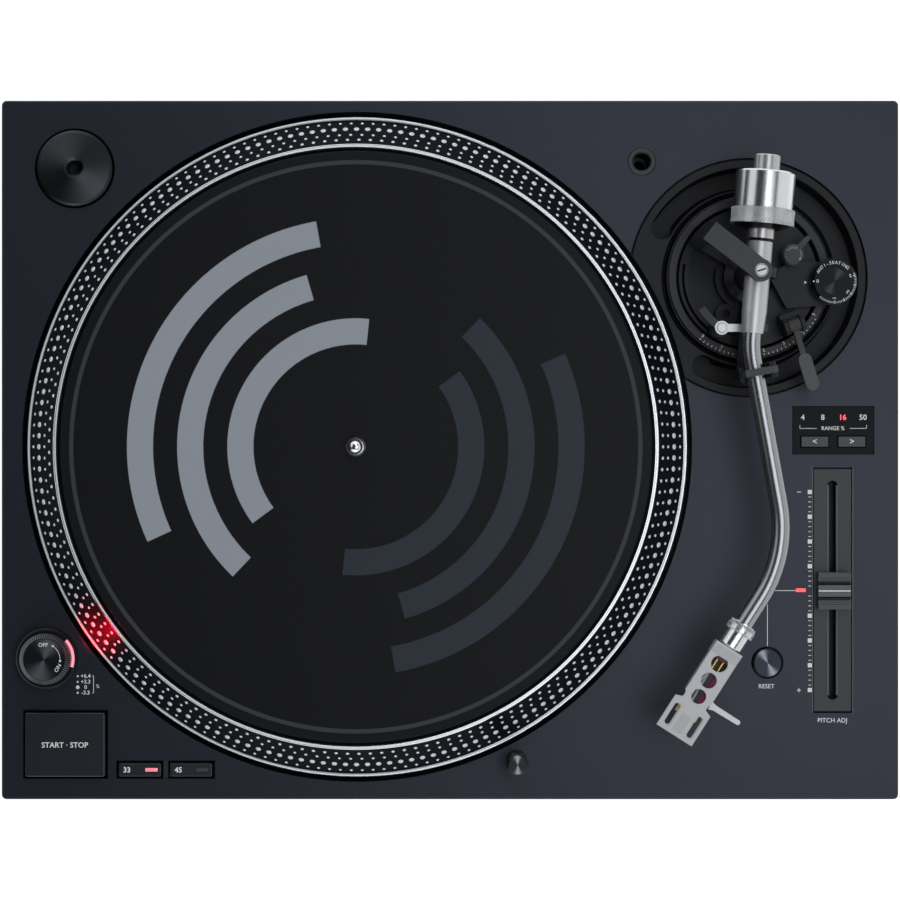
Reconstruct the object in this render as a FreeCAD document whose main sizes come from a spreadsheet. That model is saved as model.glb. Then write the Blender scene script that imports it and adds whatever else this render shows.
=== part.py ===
import FreeCAD, Part
import math
import os

import Sketcher

# A direct-drive record turntable with an S-shaped tonearm, in millimetres.
# The frame: +X to the right, +Y to the rear, +Z up, origin on the floor below the plinth's centre.

Vector = FreeCAD.Vector
doc = FreeCAD.newDocument("turntable")
sheet = doc.addObject("Spreadsheet::Sheet", "Sizes")

# Driving dimensions: alias, number in millimetres or degrees, what it is.
SIZES = [
    # plinth
    ("plinth_width", 453, "outer width of the plinth"),
    ("plinth_depth", 353, "outer depth of the plinth"),
    ("plinth_corner", 2.5, "radius of the plinth's upright corners"),
    ("plate_top", 102, "height of the top plate's face"),
    ("plate_thick", 5, "thickness of the cast top plate"),
    ("plate_edge", 0.8, "bevel round the top plate"),
    ("chassis_bottom", 60, "lower edge of the cast chassis"),
    ("wall_thick", 5, "thickness of the chassis walls"),
    ("base_inset", 2, "how far the base stands in from the chassis"),
    ("base_bottom", 30, "underside of the base"),
    ("base_thick", 4, "thickness of the base's floor and walls"),
    ("lip_height", 6, "lip of the base inside the chassis"),
    ("lip_thick", 3, "thickness of that lip"),
    # platter well
    ("platter_x", -46.9, "platter centre"),
    ("platter_y", 1.6, "platter centre"),
    ("well_r", 169.2, "radius of the platter well"),
    ("well_wall", 2, "wall round the platter well"),
    ("well_floor", 82, "height of the platter well's floor"),
    ("well_floor_thick", 4, "thickness of that floor"),
    # platter and drive
    ("platter_r", 166, "outer radius of the platter"),
    ("platter_bottom", 90, "lower edge of the platter's skirt"),
    ("platter_skirt", 4.5, "thickness of the skirt"),
    ("deck_top", 117, "face of the platter under the slipmat"),
    ("deck_thick", 6, "thickness of the platter's deck"),
    ("rim_top", 119.5, "top of the polished ring round the slipmat"),
    ("rim_inner_r", 148.7, "inside of that ring"),
    ("rim_outer_r", 150.7, "outside of that ring, where the strobe slope starts"),
    ("bead_inner_r", 164.6, "foot of the strobe slope"),
    ("bead_top", 105.8, "top of the outer polished bead"),
    ("slope_foot", 105.2, "height of the strobe slope's foot"),
    ("hub_r", 24, "platter hub"),
    ("hub_bottom", 104, "underside of the platter hub"),
    ("shaft_r", 5, "spindle shaft in the bearing"),
    ("shaft_bottom", 57.05, "lower end of the spindle shaft"),
    ("spindle_r", 3.6, "record spindle"),
    ("spindle_top", 131, "tip of the record spindle"),
    ("shoulder_foot_r", 4.5, "foot of the spindle's tapered shoulder inside the slipmat"),
    ("shoulder_r", 4.1, "its radius at the top"),
    ("shoulder_top", 120.3, "its top"),
    ("damping_inner_r", 62, "rubber damping layer under the deck"),
    ("damping_outer_r", 154, "rubber damping layer under the deck"),
    ("damping_thick", 4.5, "thickness of the damping layer"),
    ("magnet_inner_r", 40, "rotor magnet"),
    ("magnet_outer_r", 58, "rotor magnet"),
    ("magnet_height", 14, "height of the rotor magnet"),
    ("stator_top", 93.5, "top of the stator coils"),
    ("stator_r", 58, "stator board"),
    ("board_thick", 1.6, "thickness of a circuit board"),
    ("coil_ring_r", 45, "ring on which the coils stand"),
    ("coil_r", 9, "one stator coil"),
    ("coil_hole_r", 3.5, "middle of a coil"),
    ("bearing_r", 14, "bearing housing"),
    ("bearing_flange_r", 22, "flange of the bearing housing on the well floor"),
    ("bearing_bottom", 52, "lower end of the bearing housing"),
    ("bearing_top", 98, "upper end of the bearing housing"),
    ("running_gap", 0.05, "radial clearance of a running fit"),
    # slipmat
    ("mat_r", 147.5, "slipmat radius"),
    ("mat_top", 120, "face of the slipmat"),
    ("mat_hole_r", 4.8, "hole in the slipmat"),
    ("mat_gap", 0.05, "gap below the slipmat"),
    # record adaptor and its recess
    ("adaptor_x", -189.5, "adaptor recess"),
    ("adaptor_y", 142.2, "adaptor recess"),
    ("adaptor_recess_r", 20.25, "radius of the adaptor recess"),
    ("adaptor_recess_floor", 92, "floor of the adaptor recess"),
    ("adaptor_r", 19, "record adaptor"),
    ("adaptor_edge", 104.4, "top edge of the adaptor"),
    ("adaptor_peak", 106.2, "middle of the adaptor's cone"),
    ("adaptor_bore_r", 3.8, "bore of the adaptor"),
    # spare headshell holder
    ("holder_x", 96.9, "headshell holder"),
    ("holder_y", 145.6, "headshell holder"),
    ("holder_r", 6.9, "outside of the headshell holder"),
    ("holder_bore_r", 4.4, "bore of the headshell holder"),
    ("holder_bottom", 76, "lower end of the headshell holder"),
    # start and stop button
    ("start_x", -194.1, "start and stop button"),
    ("start_y", -148.6, "start and stop button"),
    ("start_opening_width", 42.8, "opening in the plate"),
    ("start_opening_depth", 34.8, "opening in the plate"),
    ("start_width", 40.2, "button"),
    ("start_depth", 32.2, "button"),
    ("start_top", 104.8, "face of the button"),
    ("start_bottom", 94.6, "underside of the button"),
    ("tray_floor", 92.6, "floor of the trays below the buttons"),
    ("tray_bottom", 90.6, "underside of those trays"),
    ("tray_rim", 2, "rim of those trays under the plate"),
    ("stem_r", 1.5, "stem that guides a button"),
    # speed buttons
    ("speed_x", -143.6, "speed buttons' opening"),
    ("speed_y", -161.4, "speed buttons' opening"),
    ("speed_opening_width", 49.8, "opening in the plate"),
    ("speed_opening_depth", 9.2, "opening in the plate"),
    ("speed_width", 21.2, "one button"),
    ("speed_depth", 6.6, "one button"),
    ("speed_spacing", 25.8, "from one button to the other"),
    ("speed_top", 103.4, "face of the buttons"),
    ("speed_divider", 2.4, "bar between the buttons"),
    # power switch and strobe housing
    ("power_x", -202.8, "power switch"),
    ("power_y", -104.7, "power switch"),
    ("strobe_r", 15.2, "strobe housing"),
    ("strobe_top", 110.4, "top of the strobe housing"),
    ("strobe_neck_r", 12, "neck of the strobe housing in the plate"),
    ("window_inner_r", 12.4, "strobe window"),
    ("window_outer_r", 14.5, "strobe window"),
    ("window_bottom", 104, "strobe window"),
    ("window_start", -18, "first edge of the strobe window, in degrees"),
    ("window_angle", 60, "angle that the strobe window spans"),
    ("power_r", 12.8, "power knob"),
    ("power_face_r", 10.3, "spun face of the power knob"),
    ("power_bottom", 110.8, "underside of the power knob"),
    ("power_shoulder", 113.6, "foot of the knob's ribbed slope"),
    ("power_top", 116.6, "face of the power knob"),
    ("power_shaft_r", 4, "shaft of the power knob"),
    # target light
    ("light_x", 33.7, "target light"),
    ("light_y", -156.8, "target light"),
    ("light_hole_r", 6.3, "hole in the plate"),
    ("light_r", 5.4, "column of the target light"),
    ("light_top", 121, "top of the raised column"),
    ("light_bottom", 84, "lower end of the raised column"),
    ("light_travel", 18, "how far the column presses in"),
    ("light_window", 6, "width and height of the light's window"),
    # reset button and pitch lamp
    ("reset_x", 160.2, "reset button"),
    ("reset_y", -107.4, "reset button"),
    ("reset_hole_r", 8.15, "recess of the reset button"),
    ("reset_r", 7.35, "reset button"),
    ("reset_top", 104.3, "face of the reset button"),
    ("reset_bottom", 96, "underside of the reset button"),
    ("reset_floor", 94.5, "floor of its recess"),
    ("lamp_x", 177.1, "pitch lamp"),
    ("lamp_y", -70.8, "pitch lamp"),
    ("lamp_width", 4.9, "pitch lamp"),
    ("lamp_depth", 1.7, "pitch lamp"),
    # pitch fader
    ("pitch_x", 193.25, "pitch fader"),
    ("pitch_y", -70.8, "pitch fader"),
    ("pitch_opening_width", 20.6, "opening in the plate"),
    ("pitch_opening_depth", 124, "opening in the plate"),
    ("pitch_width", 19.6, "fader plate"),
    ("pitch_depth", 123, "fader plate"),
    ("pitch_top", 101.5, "face of the fader plate"),
    ("pitch_bottom", 82, "underside of the fader body"),
    ("slot_width", 5.5, "slot of the fader"),
    ("slot_length", 110.8, "slot of the fader"),
    ("slot_floor", 85, "floor of the slot"),
    ("fader_width", 16.4, "fader knob"),
    ("fader_depth", 18.6, "fader knob"),
    ("fader_bottom", 102.6, "underside of the fader knob"),
    ("fader_top", 110.2, "middle of the fader knob"),
    ("stem_width", 4.9, "stem of the fader knob"),
    ("stem_depth", 6, "stem of the fader knob"),
    # speed range panel
    ("range_x", 193.6, "range panel"),
    ("range_y", 9.95, "range panel"),
    ("range_width", 41.4, "range panel's opening"),
    ("range_depth", 24.4, "range panel's opening"),
    ("range_top", 101.8, "face of the range panel"),
    ("range_corner", 1.1, "corners of the panels"),
    ("range_key_width", 14, "range button"),
    ("range_key_depth", 5.6, "range button"),
    ("range_key_spacing", 18.7, "from one range button to the other"),
    ("range_key_y", 4.2, "range buttons"),
    ("range_key_top", 102.7, "face of the range buttons"),
    ("range_key_bottom", 96.4, "underside of the range buttons"),
    ("range_key_floor", 95.4, "floor below the range buttons"),
    # feet
    ("foot_x", 185, "feet, from the middle"),
    ("foot_y", 136, "feet, from the middle"),
    ("foot_r", 31, "foot"),
    ("foot_height", 28, "foot"),
    ("stud_r", 5, "threaded stud of a foot"),
    ("stud_top", 50, "upper end of the stud"),
    ("boss_r", 10, "boss that takes the stud"),
    ("boss_top", 54, "top of that boss"),
    # rear
    ("terminal_x", 132, "middle of the terminal recess"),
    ("terminal_width", 64, "terminal recess"),
    ("inlet_x", -130, "middle of the mains inlet recess"),
    ("inlet_recess_width", 40, "mains inlet recess"),
    ("recess_low", 36, "lower edge of the rear recesses"),
    ("recess_high", 57, "upper edge of the rear recesses"),
    ("recess_depth", 24.5, "depth of the rear recesses"),
    ("recess_wall", 3, "wall round the rear recesses"),
    ("terminal_z", 46.5, "height of the sockets' middle"),
    ("jack_spacing", 14, "from one phono socket to the other"),
    ("jack_x", 112, "first phono socket"),
    ("jack_r", 4.15, "barrel of a phono socket"),
    ("jack_collar_r", 5.6, "insulating collar of a phono socket"),
    ("jack_length", 10, "barrel of a phono socket"),
    ("ground_x", 150, "ground post"),
    ("ground_post_r", 2, "ground post"),
    ("ground_nut_r", 4.4, "ground nut"),
    ("inlet_width", 21, "mains inlet"),
    ("inlet_height", 13, "mains inlet"),
    ("inlet_length", 16, "mains inlet"),
    ("hinge_x", 150, "dust cover sockets, from the middle"),
    ("hinge_width", 40, "dust cover socket"),
    ("hinge_low", 66, "lower edge of a dust cover socket"),
    ("hinge_high", 92, "upper edge of a dust cover socket"),
    ("hinge_depth", 13, "depth of a dust cover socket"),
    ("hinge_slot_width", 28, "slot of a dust cover socket"),
    ("hinge_slot_height", 16, "slot of a dust cover socket"),
    ("hinge_slot_depth", 9, "slot of a dust cover socket"),
    # tonearm housing and height ring
    ("arm_x", 150.5, "tonearm pivot"),
    ("arm_y", 87, "tonearm pivot"),
    ("arm_hole_r", 60.5, "hole in the plate round the tonearm housing"),
    ("housing_r", 59.6, "tonearm housing"),
    ("housing_bottom", 80, "underside of the tonearm housing"),
    ("housing_floor", 83, "floor of the tonearm housing"),
    ("housing_bore_r", 42, "bore of the tonearm housing"),
    ("cove_inner_r", 44.4, "inside of the crescent cove"),
    ("cove_outer_r", 55.8, "outside of the crescent cove"),
    ("cove_floor", 87, "deepest part of the cove"),
    ("cove_start", -117, "first end of the cove, in degrees"),
    ("cove_angle", 267, "angle that the cove spans"),
    ("ring_outer_r", 41, "height ring"),
    ("ring_inner_r", 36.2, "height ring"),
    ("ring_top", 106, "top of the height ring"),
    ("ring_bottom", 83.1, "underside of the height ring"),
    ("arm_base_r", 35.6, "tonearm base"),
    ("arm_base_top", 103, "face of the tonearm base"),
    ("arm_base_bottom", 84, "underside of the tonearm base"),
    ("tower_r", 8, "tower of the lower pivot"),
    ("tower_top", 132, "top of the tower"),
    ("pocket_floor", 96, "floor of the sunken part of the tonearm base"),
    # tonearm
    ("arm_height", 143, "axis of the arm tube above the floor"),
    ("arm_turn", -95, "direction of the arm's own x axis, in degrees"),
    ("first_bend_x", 37.8, "corner of the arm's first bend"),
    ("first_bend_angle", 15.2, "turn of the first bend"),
    ("first_bend_r", 44, "radius of the first bend"),
    ("second_bend_x", 136.5, "corner of the second bend, along the arm"),
    ("second_bend_angle", -42.7, "turn of the second bend"),
    ("second_bend_r", 65, "radius of the second bend"),
    ("tube_start", 21, "where the arm tube starts in the housing"),
    ("tube_last_run", 52.8, "from the second corner to the end of the tube"),
    ("tube_r", 4.5, "arm tube"),
    ("tube_bore_r", 4.05, "bore of the arm tube"),
    ("pivot_rear", -15.1, "rear end of the arm's pivot housing"),
    ("pivot_joint", 19.8, "joint line of the pivot housing"),
    ("pivot_front", 30, "front end of the pivot housing"),
    ("pivot_r", 6.2, "pivot housing"),
    ("pivot_front_r", 5.35, "front end of the pivot housing"),
    ("shaft_rear", -57.4, "rear end of the counterweight shaft"),
    ("shaft_front", -16.4, "front end of the counterweight shaft"),
    ("rear_shaft_r", 6.5, "counterweight shaft"),
    ("rear_shaft_bore_r", 3.2, "bore of the counterweight shaft"),
    ("weight_rear", -49.1, "rear face of the counterweight"),
    ("weight_front", -31.05, "front face of the counterweight"),
    ("weight_r", 14.65, "counterweight"),
    ("sleeve_r", 7.6, "sleeve inside the counterweight"),
    ("weight_hub_r", 9.2, "hub that carries the pressure ring"),
    ("dial_ring_r", 15.35, "knurled pressure ring"),
    ("dial_ring_front", -23.1, "front edge of the knurling"),
    ("dial_cone_front", -21, "front end of the pressure ring's cone"),
    ("dial_cone_r", 8.9, "front end of the pressure ring's cone"),
    ("yoke_inner_r", 7, "gimbal ring"),
    ("yoke_outer_r", 9.8, "gimbal ring"),
    ("yoke_half", 2.5, "half the gimbal ring's width"),
    ("pin_r", 1.2, "pivot pins"),
    # gimbal bridge
    ("bridge_turn", 142.4, "direction of the bridge, in degrees"),
    ("bridge_width", 10.2, "bridge"),
    ("bridge_top", 158, "top of the bridge"),
    ("bridge_under", 153.6, "underside of the bridge"),
    ("bridge_far", 34.5, "far end of the bridge"),
    ("screw_r", 3.25, "pivot screw"),
    ("screw_top", 159.3, "head of the pivot screw"),
    # arm rest and clamp, measured across the arm tube
    ("rest_x", 49.1, "arm rest, along the arm"),
    ("rest_y", 3.1, "arm rest, across the arm"),
    ("rest_top", 138.2, "saddle of the arm rest"),
    ("rest_half", 8, "half the width of the arm rest"),
    ("clamp_pivot_y", 8.2, "hinge of the clamp, across the tube"),
    ("clamp_pivot_z", 146, "hinge of the clamp"),
    ("clamp_half", 1.75, "half the clamp's width"),
    ("clamp_under", 153, "inner face of the clamp"),
    ("clamp_top", 155, "top of the clamp"),
    # anti-skating dial
    ("skate_x", 191.4, "anti-skating dial"),
    ("skate_y", 84, "anti-skating dial"),
    ("skate_r", 11.5, "anti-skating dial"),
    ("skate_bottom", 112.4, "underside of the dial"),
    ("skate_top", 120.5, "face of the dial"),
    ("bracket_low", 106.8, "underside of the brackets over the height ring"),
    ("bracket_top", 112, "top of those brackets"),
    # height lock
    ("lock_x", 171, "height lock"),
    ("lock_y", 97.2, "height lock"),
    ("lock_r", 5.4, "height lock"),
    ("lock_top", 120.5, "height lock"),
    ("lock_bottom", 112.4, "height lock"),
    # cueing
    ("cue_x", 171.2, "cue lever's pivot"),
    ("cue_y", 62.2, "cue lever's pivot"),
    ("cue_z", 122, "cue lever's pivot"),
    ("cue_turn", -73, "direction of the cue lever, in degrees"),
    ("cue_length", 34, "cue lever, from its pivot"),
    ("cue_paddle", 19, "length of the lever's soft paddle"),
    ("cue_width", 6.6, "paddle of the cue lever"),
    ("cue_hub_r", 3.4, "hub of the cue lever"),
    ("lift_x", 134.2, "arm lift"),
    ("lift_y", 60.3, "arm lift"),
    ("lift_rod_r", 2.6, "rod of the arm lift"),
    ("lift_rod_bottom", 103, "rod of the arm lift"),
    ("lift_bar_bottom", 129, "bar of the arm lift"),
    ("lift_bar_top", 131.8, "bar of the arm lift"),
    ("lift_bar_width", 3.8, "bar of the arm lift"),
    ("lift_bar_end", 157, "right end of the bar"),
    ("lift_reach", 31.3, "arm lift, from the tonearm pivot"),
    ("lift_arc_start", -147, "left end of the bar's arc, in degrees"),
    ("lift_arc_angle", 26, "angle that the bar's arc spans"),
    # headshell, along its own axis
    ("collar_x", 171.9, "start of the locking collar, along the arm"),
    ("collar_y", 8.4, "start of the locking collar, across the arm"),
    ("collar_length", 13.2, "locking collar"),
    ("collar_r", 6.15, "locking collar"),
    ("collar_grip_r", 7.1, "knurled band of the locking collar"),
    ("shell_gap", 0.6, "gap between the collar and the headshell"),
    ("shell_length", 50.5, "headshell"),
    ("shell_neck", 14.7, "width of the headshell's neck"),
    ("shell_front", 20.2, "width of the headshell's front"),
    ("shell_step", 33.4, "where the headshell widens"),
    ("shell_top", 3, "top of the headshell above its axis"),
    ("shell_thick", 2.2, "thickness of the headshell's plate"),
    ("shell_block", 6, "length of the headshell's rear block"),
    ("plug_r", 4, "plug of the headshell"),
    ("plug_length", 12, "plug of the headshell"),
    ("cartridge_spacing", 12.7, "from one cartridge slot to the other"),
    ("cartridge_slot_x", 42, "cartridge slots, along the headshell"),
    ("cartridge_slot_width", 2.8, "cartridge slots"),
    ("cartridge_slot_length", 11.6, "cartridge slots"),
    ("lift_tab_x", 28.6, "finger lift, along the headshell"),
    ("lift_tab_reach", 24.3, "tip of the finger lift, across the headshell"),
    ("wire_r", 0.55, "lead wire"),
]

HEADSHELL_HOLES = [(9.2, 4.15), (18.9, 3.9), (28.1, 3.7)]

FOOT_CORNERS = {
    "foot_front_left": (-1, -1),
    "foot_front_right": (1, -1),
    "foot_rear_left": (-1, 1),
    "foot_rear_right": (1, 1),
}

SCREW_PLACES = [(-120, -163), (0, -163), (120, -163), (-60, 163), (40, 163), (-213, 0), (213, 0), (213, -70)]

# Lead wires as points along, across and above the headshell's axis.
LEAD_WIRES = [
    [(13.3, -1.7, -0.5), (18, -2.5, -0.9), (24, -3.3, -1.2), (30, -3.0, -1.4), (36, -5.2, -1.7)],
    [(13.3, 1.7, -0.5), (18, 2.4, -0.9), (24, 2.9, -1.2), (30, 2.2, -1.4), (36, 3.0, -1.7)],
    [(13.3, -1.7, -3.4), (18, -1.1, -3.7), (24, -1.5, -3.6), (30, -0.8, -3.4), (36, -1.8, -3.3)],
    [(13.3, 1.7, -3.4), (18, 2.6, -3.7), (24, 2.2, -3.6), (30, 3.9, -3.4), (36, 5.4, -3.3)],
]

for row, (alias, number, words) in enumerate(SIZES, start=1):
    sheet.set(f"A{row}", words)
    sheet.set(f"B{row}", str(number))
    sheet.setAlias(f"B{row}", alias)
doc.recompute()


class Size:
    """A measure that keeps its number and the sheet formula that gives it."""

    def __init__(self, number, formula):
        self.number = number
        self.formula = formula

    def __add__(self, other):
        other = as_size(other)
        return Size(self.number + other.number, f"({self.formula} + {other.formula})")

    def __sub__(self, other):
        other = as_size(other)
        return Size(self.number - other.number, f"({self.formula} - {other.formula})")

    def __mul__(self, other):
        other = as_size(other)
        return Size(self.number * other.number, f"({self.formula} * {other.formula})")

    def __truediv__(self, other):
        other = as_size(other)
        return Size(self.number / other.number, f"({self.formula} / {other.formula})")

    def __radd__(self, other):
        return as_size(other) + self

    def __rsub__(self, other):
        return as_size(other) - self

    def __rmul__(self, other):
        return as_size(other) * self

    def __neg__(self):
        return Size(-self.number, f"(-{self.formula})")


def as_size(value):
    """A plain number as a Size."""
    return value if isinstance(value, Size) else Size(float(value), f"({float(value)})")


def sine(angle):
    angle = as_size(angle)
    return Size(math.sin(math.radians(angle.number)), f"sin({angle.formula})")


def cosine(angle):
    angle = as_size(angle)
    return Size(math.cos(math.radians(angle.number)), f"cos({angle.formula})")


class Sheet:
    """Gives each alias of the sheet as a Size."""

    def __getattr__(self, alias):
        return Size(sheet.get(alias), "Sizes." + alias)


S = Sheet()
PARTS = []


def bind(thing, path, value):
    """Tie one property of a thing to the sheet."""
    thing.setExpression(path, as_size(value).formula)


def place(thing, at=(0, 0, 0), turn=None, axis=(0, 0, 1)):
    """Tie a thing's place, and its turn about an axis, to the sheet."""
    if turn is not None:
        turn = as_size(turn)
        thing.Placement = FreeCAD.Placement(Vector(), FreeCAD.Rotation(Vector(*axis), turn.number))
        bind(thing, "Placement.Rotation.Angle", turn)
    for letter, value in zip("xyz", at):
        bind(thing, "Placement.Base." + letter, value)
    return thing


def rod(name, radius, low, high, at=(0, 0)):
    """An upright cylinder between two heights."""
    thing = doc.addObject("Part::Cylinder", name)
    bind(thing, "Radius", radius)
    bind(thing, "Height", as_size(high) - low)
    return place(thing, (at[0], at[1], low))


def box(name, width, depth, low, high, at=(0, 0)):
    """An upright box, centred on a point, between two heights."""
    thing = doc.addObject("Part::Box", name)
    bind(thing, "Length", width)
    bind(thing, "Width", depth)
    bind(thing, "Height", as_size(high) - low)
    return place(thing, (as_size(at[0]) - as_size(width) / 2, as_size(at[1]) - as_size(depth) / 2, low))


def joined(name, things):
    """Several things as one."""
    thing = doc.addObject("Part::MultiFuse", name)
    thing.Shapes = things
    return thing


def group(name, things):
    """Several separate solids in one sub-part."""
    thing = doc.addObject("Part::Compound", name)
    thing.Links = things
    return thing


def cut(name, base, tools):
    """A thing with others taken away."""
    thing = doc.addObject("Part::Cut", name)
    thing.Base = base
    thing.Tool = tools[0] if len(tools) == 1 else joined(name + "_tools", tools)
    return thing


def sub_part(label, thing):
    """Keep a finished thing under its own label."""
    thing.Label = label
    PARTS.append(thing)
    return thing


def new_body(name):
    return doc.addObject("PartDesign::Body", name)


def sketch_on(body, plane):
    """A sketch on one of a body's own origin planes."""
    sketch = body.newObject("Sketcher::SketchObject", body.Name + "_sketch")
    planes = [feature for feature in body.Origin.OriginFeatures if feature.Role == plane]
    sketch.AttachmentSupport = [(planes[0], "")]
    sketch.MapMode = "FlatFace"
    return sketch


def outline(sketch, points):
    """A closed outline of straight lines through points that are tied to the sheet."""
    points = [(as_size(x), as_size(y)) for x, y in points]
    spots = [Vector(x.number, y.number, 0) for x, y in points]
    first = sketch.GeometryCount
    count = len(points)
    for index in range(count):
        sketch.addGeometry(Part.LineSegment(spots[index], spots[(index + 1) % count]), False)
    for index in range(count):
        following = first + (index + 1) % count
        sketch.addConstraint(Sketcher.Constraint("Coincident", first + index, 2, following, 1))
    for index, (x, y) in enumerate(points):
        for kind, value in (("DistanceX", x), ("DistanceY", y)):
            number = sketch.addConstraint(Sketcher.Constraint(kind, first + index, 1, value.number))
            sketch.setExpression(f"Constraints[{number}]", value.formula)


def circle(sketch, radius, at=(0, 0)):
    """A circle that is tied to the sheet."""
    radius, x, y = as_size(radius), as_size(at[0]), as_size(at[1])
    index = sketch.addGeometry(Part.Circle(Vector(x.number, y.number, 0), Vector(0, 0, 1), radius.number), False)
    limits = (("Radius", radius), ("DistanceX", x), ("DistanceY", y))
    for kind, value in limits:
        spot = (index,) if kind == "Radius" else (index, 3)
        number = sketch.addConstraint(Sketcher.Constraint(kind, *spot, value.number))
        sketch.setExpression(f"Constraints[{number}]", value.formula)


def pad(body, sketch, length, both_ways=False):
    """Give a sketch its height."""
    feature = body.newObject("PartDesign::Pad", body.Name + "_pad")
    feature.Profile = sketch
    bind(feature, "Length", length)
    feature.Midplane = both_ways
    sketch.Visibility = False
    return feature


def dress(body, kind, radius, chosen):
    """Round or bevel the edges of a body's last feature that a test picks."""
    doc.recompute()
    base = body.Tip
    names = [f"Edge{n + 1}" for n, edge in enumerate(base.Shape.Edges) if chosen(edge)]
    feature = body.newObject("PartDesign::" + kind, body.Name + "_" + kind.lower())
    feature.Base = (base, names)
    bind(feature, "Radius" if kind == "Fillet" else "Size", radius)
    return feature


def upright(edge):
    """True for an upright straight edge."""
    ends = [vertex.Point for vertex in edge.Vertexes]
    return len(ends) == 2 and ends[0].sub(ends[1]).cross(Vector(0, 0, 1)).Length < 1e-6


def at_height(height):
    """A test for edges that lie at one height."""
    height = as_size(height).number

    def chosen(edge):
        return abs(edge.BoundBox.ZMin - height) < 1e-6 and abs(edge.BoundBox.ZMax - height) < 1e-6

    return chosen


def slab(name, width, depth, low, high, at=(0, 0), corner=None, bevel=None, soft=None):
    """A block with rounded upright corners and a bevelled or rounded top edge."""
    body = new_body(name)
    sketch = sketch_on(body, "XY_Plane")
    half_x, half_y = as_size(width) / 2, as_size(depth) / 2
    outline(sketch, [(-half_x, -half_y), (half_x, -half_y), (half_x, half_y), (-half_x, half_y)])
    height = as_size(high) - low
    pad(body, sketch, height)
    if corner is not None:
        dress(body, "Fillet", corner, upright)
    if bevel is not None:
        dress(body, "Chamfer", bevel, at_height(height))
    if soft is not None:
        dress(body, "Fillet", soft, at_height(height))
    return place(body, (at[0], at[1], low))


def cut_from_sheet(name, points, low, high, at=(0, 0), turn=None):
    """A plate of any straight-sided outline between two heights."""
    body = new_body(name)
    sketch = sketch_on(body, "XY_Plane")
    outline(sketch, points)
    pad(body, sketch, as_size(high) - low)
    return place(body, (at[0], at[1], low), turn)


def turned(name, profile, at=(0, 0), angle=360):
    """A piece turned about an upright axis, from radius and height points."""
    body = new_body(name)
    sketch = sketch_on(body, "XZ_Plane")
    outline(sketch, profile)
    feature = body.newObject("PartDesign::Revolution", name + "_turn")
    feature.Profile = sketch
    feature.ReferenceAxis = (sketch, ["V_Axis"])
    bind(feature, "Angle", angle)
    return place(body, (at[0], at[1], 0))


def turned_along(name, profile):
    """A piece turned about the arm's own axis, from distance and radius points."""
    body = new_body(name)
    sketch = sketch_on(body, "XY_Plane")
    outline(sketch, profile)
    feature = body.newObject("PartDesign::Revolution", name + "_turn")
    feature.Profile = sketch
    feature.ReferenceAxis = (sketch, ["H_Axis"])
    feature.Angle = 360
    return body


def upright_plate(name, points, thickness):
    """A plate that stands on edge along the local x axis, with its thickness shared both ways."""
    body = new_body(name)
    sketch = sketch_on(body, "XZ_Plane")
    outline(sketch, points)
    pad(body, sketch, thickness, both_ways=True)
    return body


def slot_tool(name, width, length, low, high, at):
    """A round-ended slot along Y, as a solid to cut with."""
    width, length = as_size(width), as_size(length)
    reach = (length - width) / 2
    middle = box(name + "_middle", width, length - width, low, high, at)
    front = rod(name + "_front", width / 2, low, high, (at[0], as_size(at[1]) - reach))
    rear = rod(name + "_rear", width / 2, low, high, (at[0], as_size(at[1]) + reach))
    return joined(name, [middle, front, rear])


def on_arm(thing, along=0, across=0):
    """Carry a piece from the arm's own frame into the turntable's."""
    along, across = as_size(along), as_size(across)
    x = S.arm_x + along * cosine(S.arm_turn) - across * sine(S.arm_turn)
    y = S.arm_y + along * sine(S.arm_turn) + across * cosine(S.arm_turn)
    return place(thing, (x, y, S.arm_height), S.arm_turn)


def shell_turn():
    """Direction of the headshell's own axis."""
    return S.arm_turn + S.first_bend_angle + S.second_bend_angle


def on_shell(thing, along=0):
    """Carry a piece from the collar's and headshell's own frame into the turntable's."""
    turn = shell_turn()
    x = S.arm_x + S.collar_x * cosine(S.arm_turn) - S.collar_y * sine(S.arm_turn) + along * cosine(turn)
    y = S.arm_y + S.collar_x * sine(S.arm_turn) + S.collar_y * cosine(S.arm_turn) + along * sine(turn)
    return place(thing, (x, y, S.arm_height), turn)


# Plinth


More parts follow.
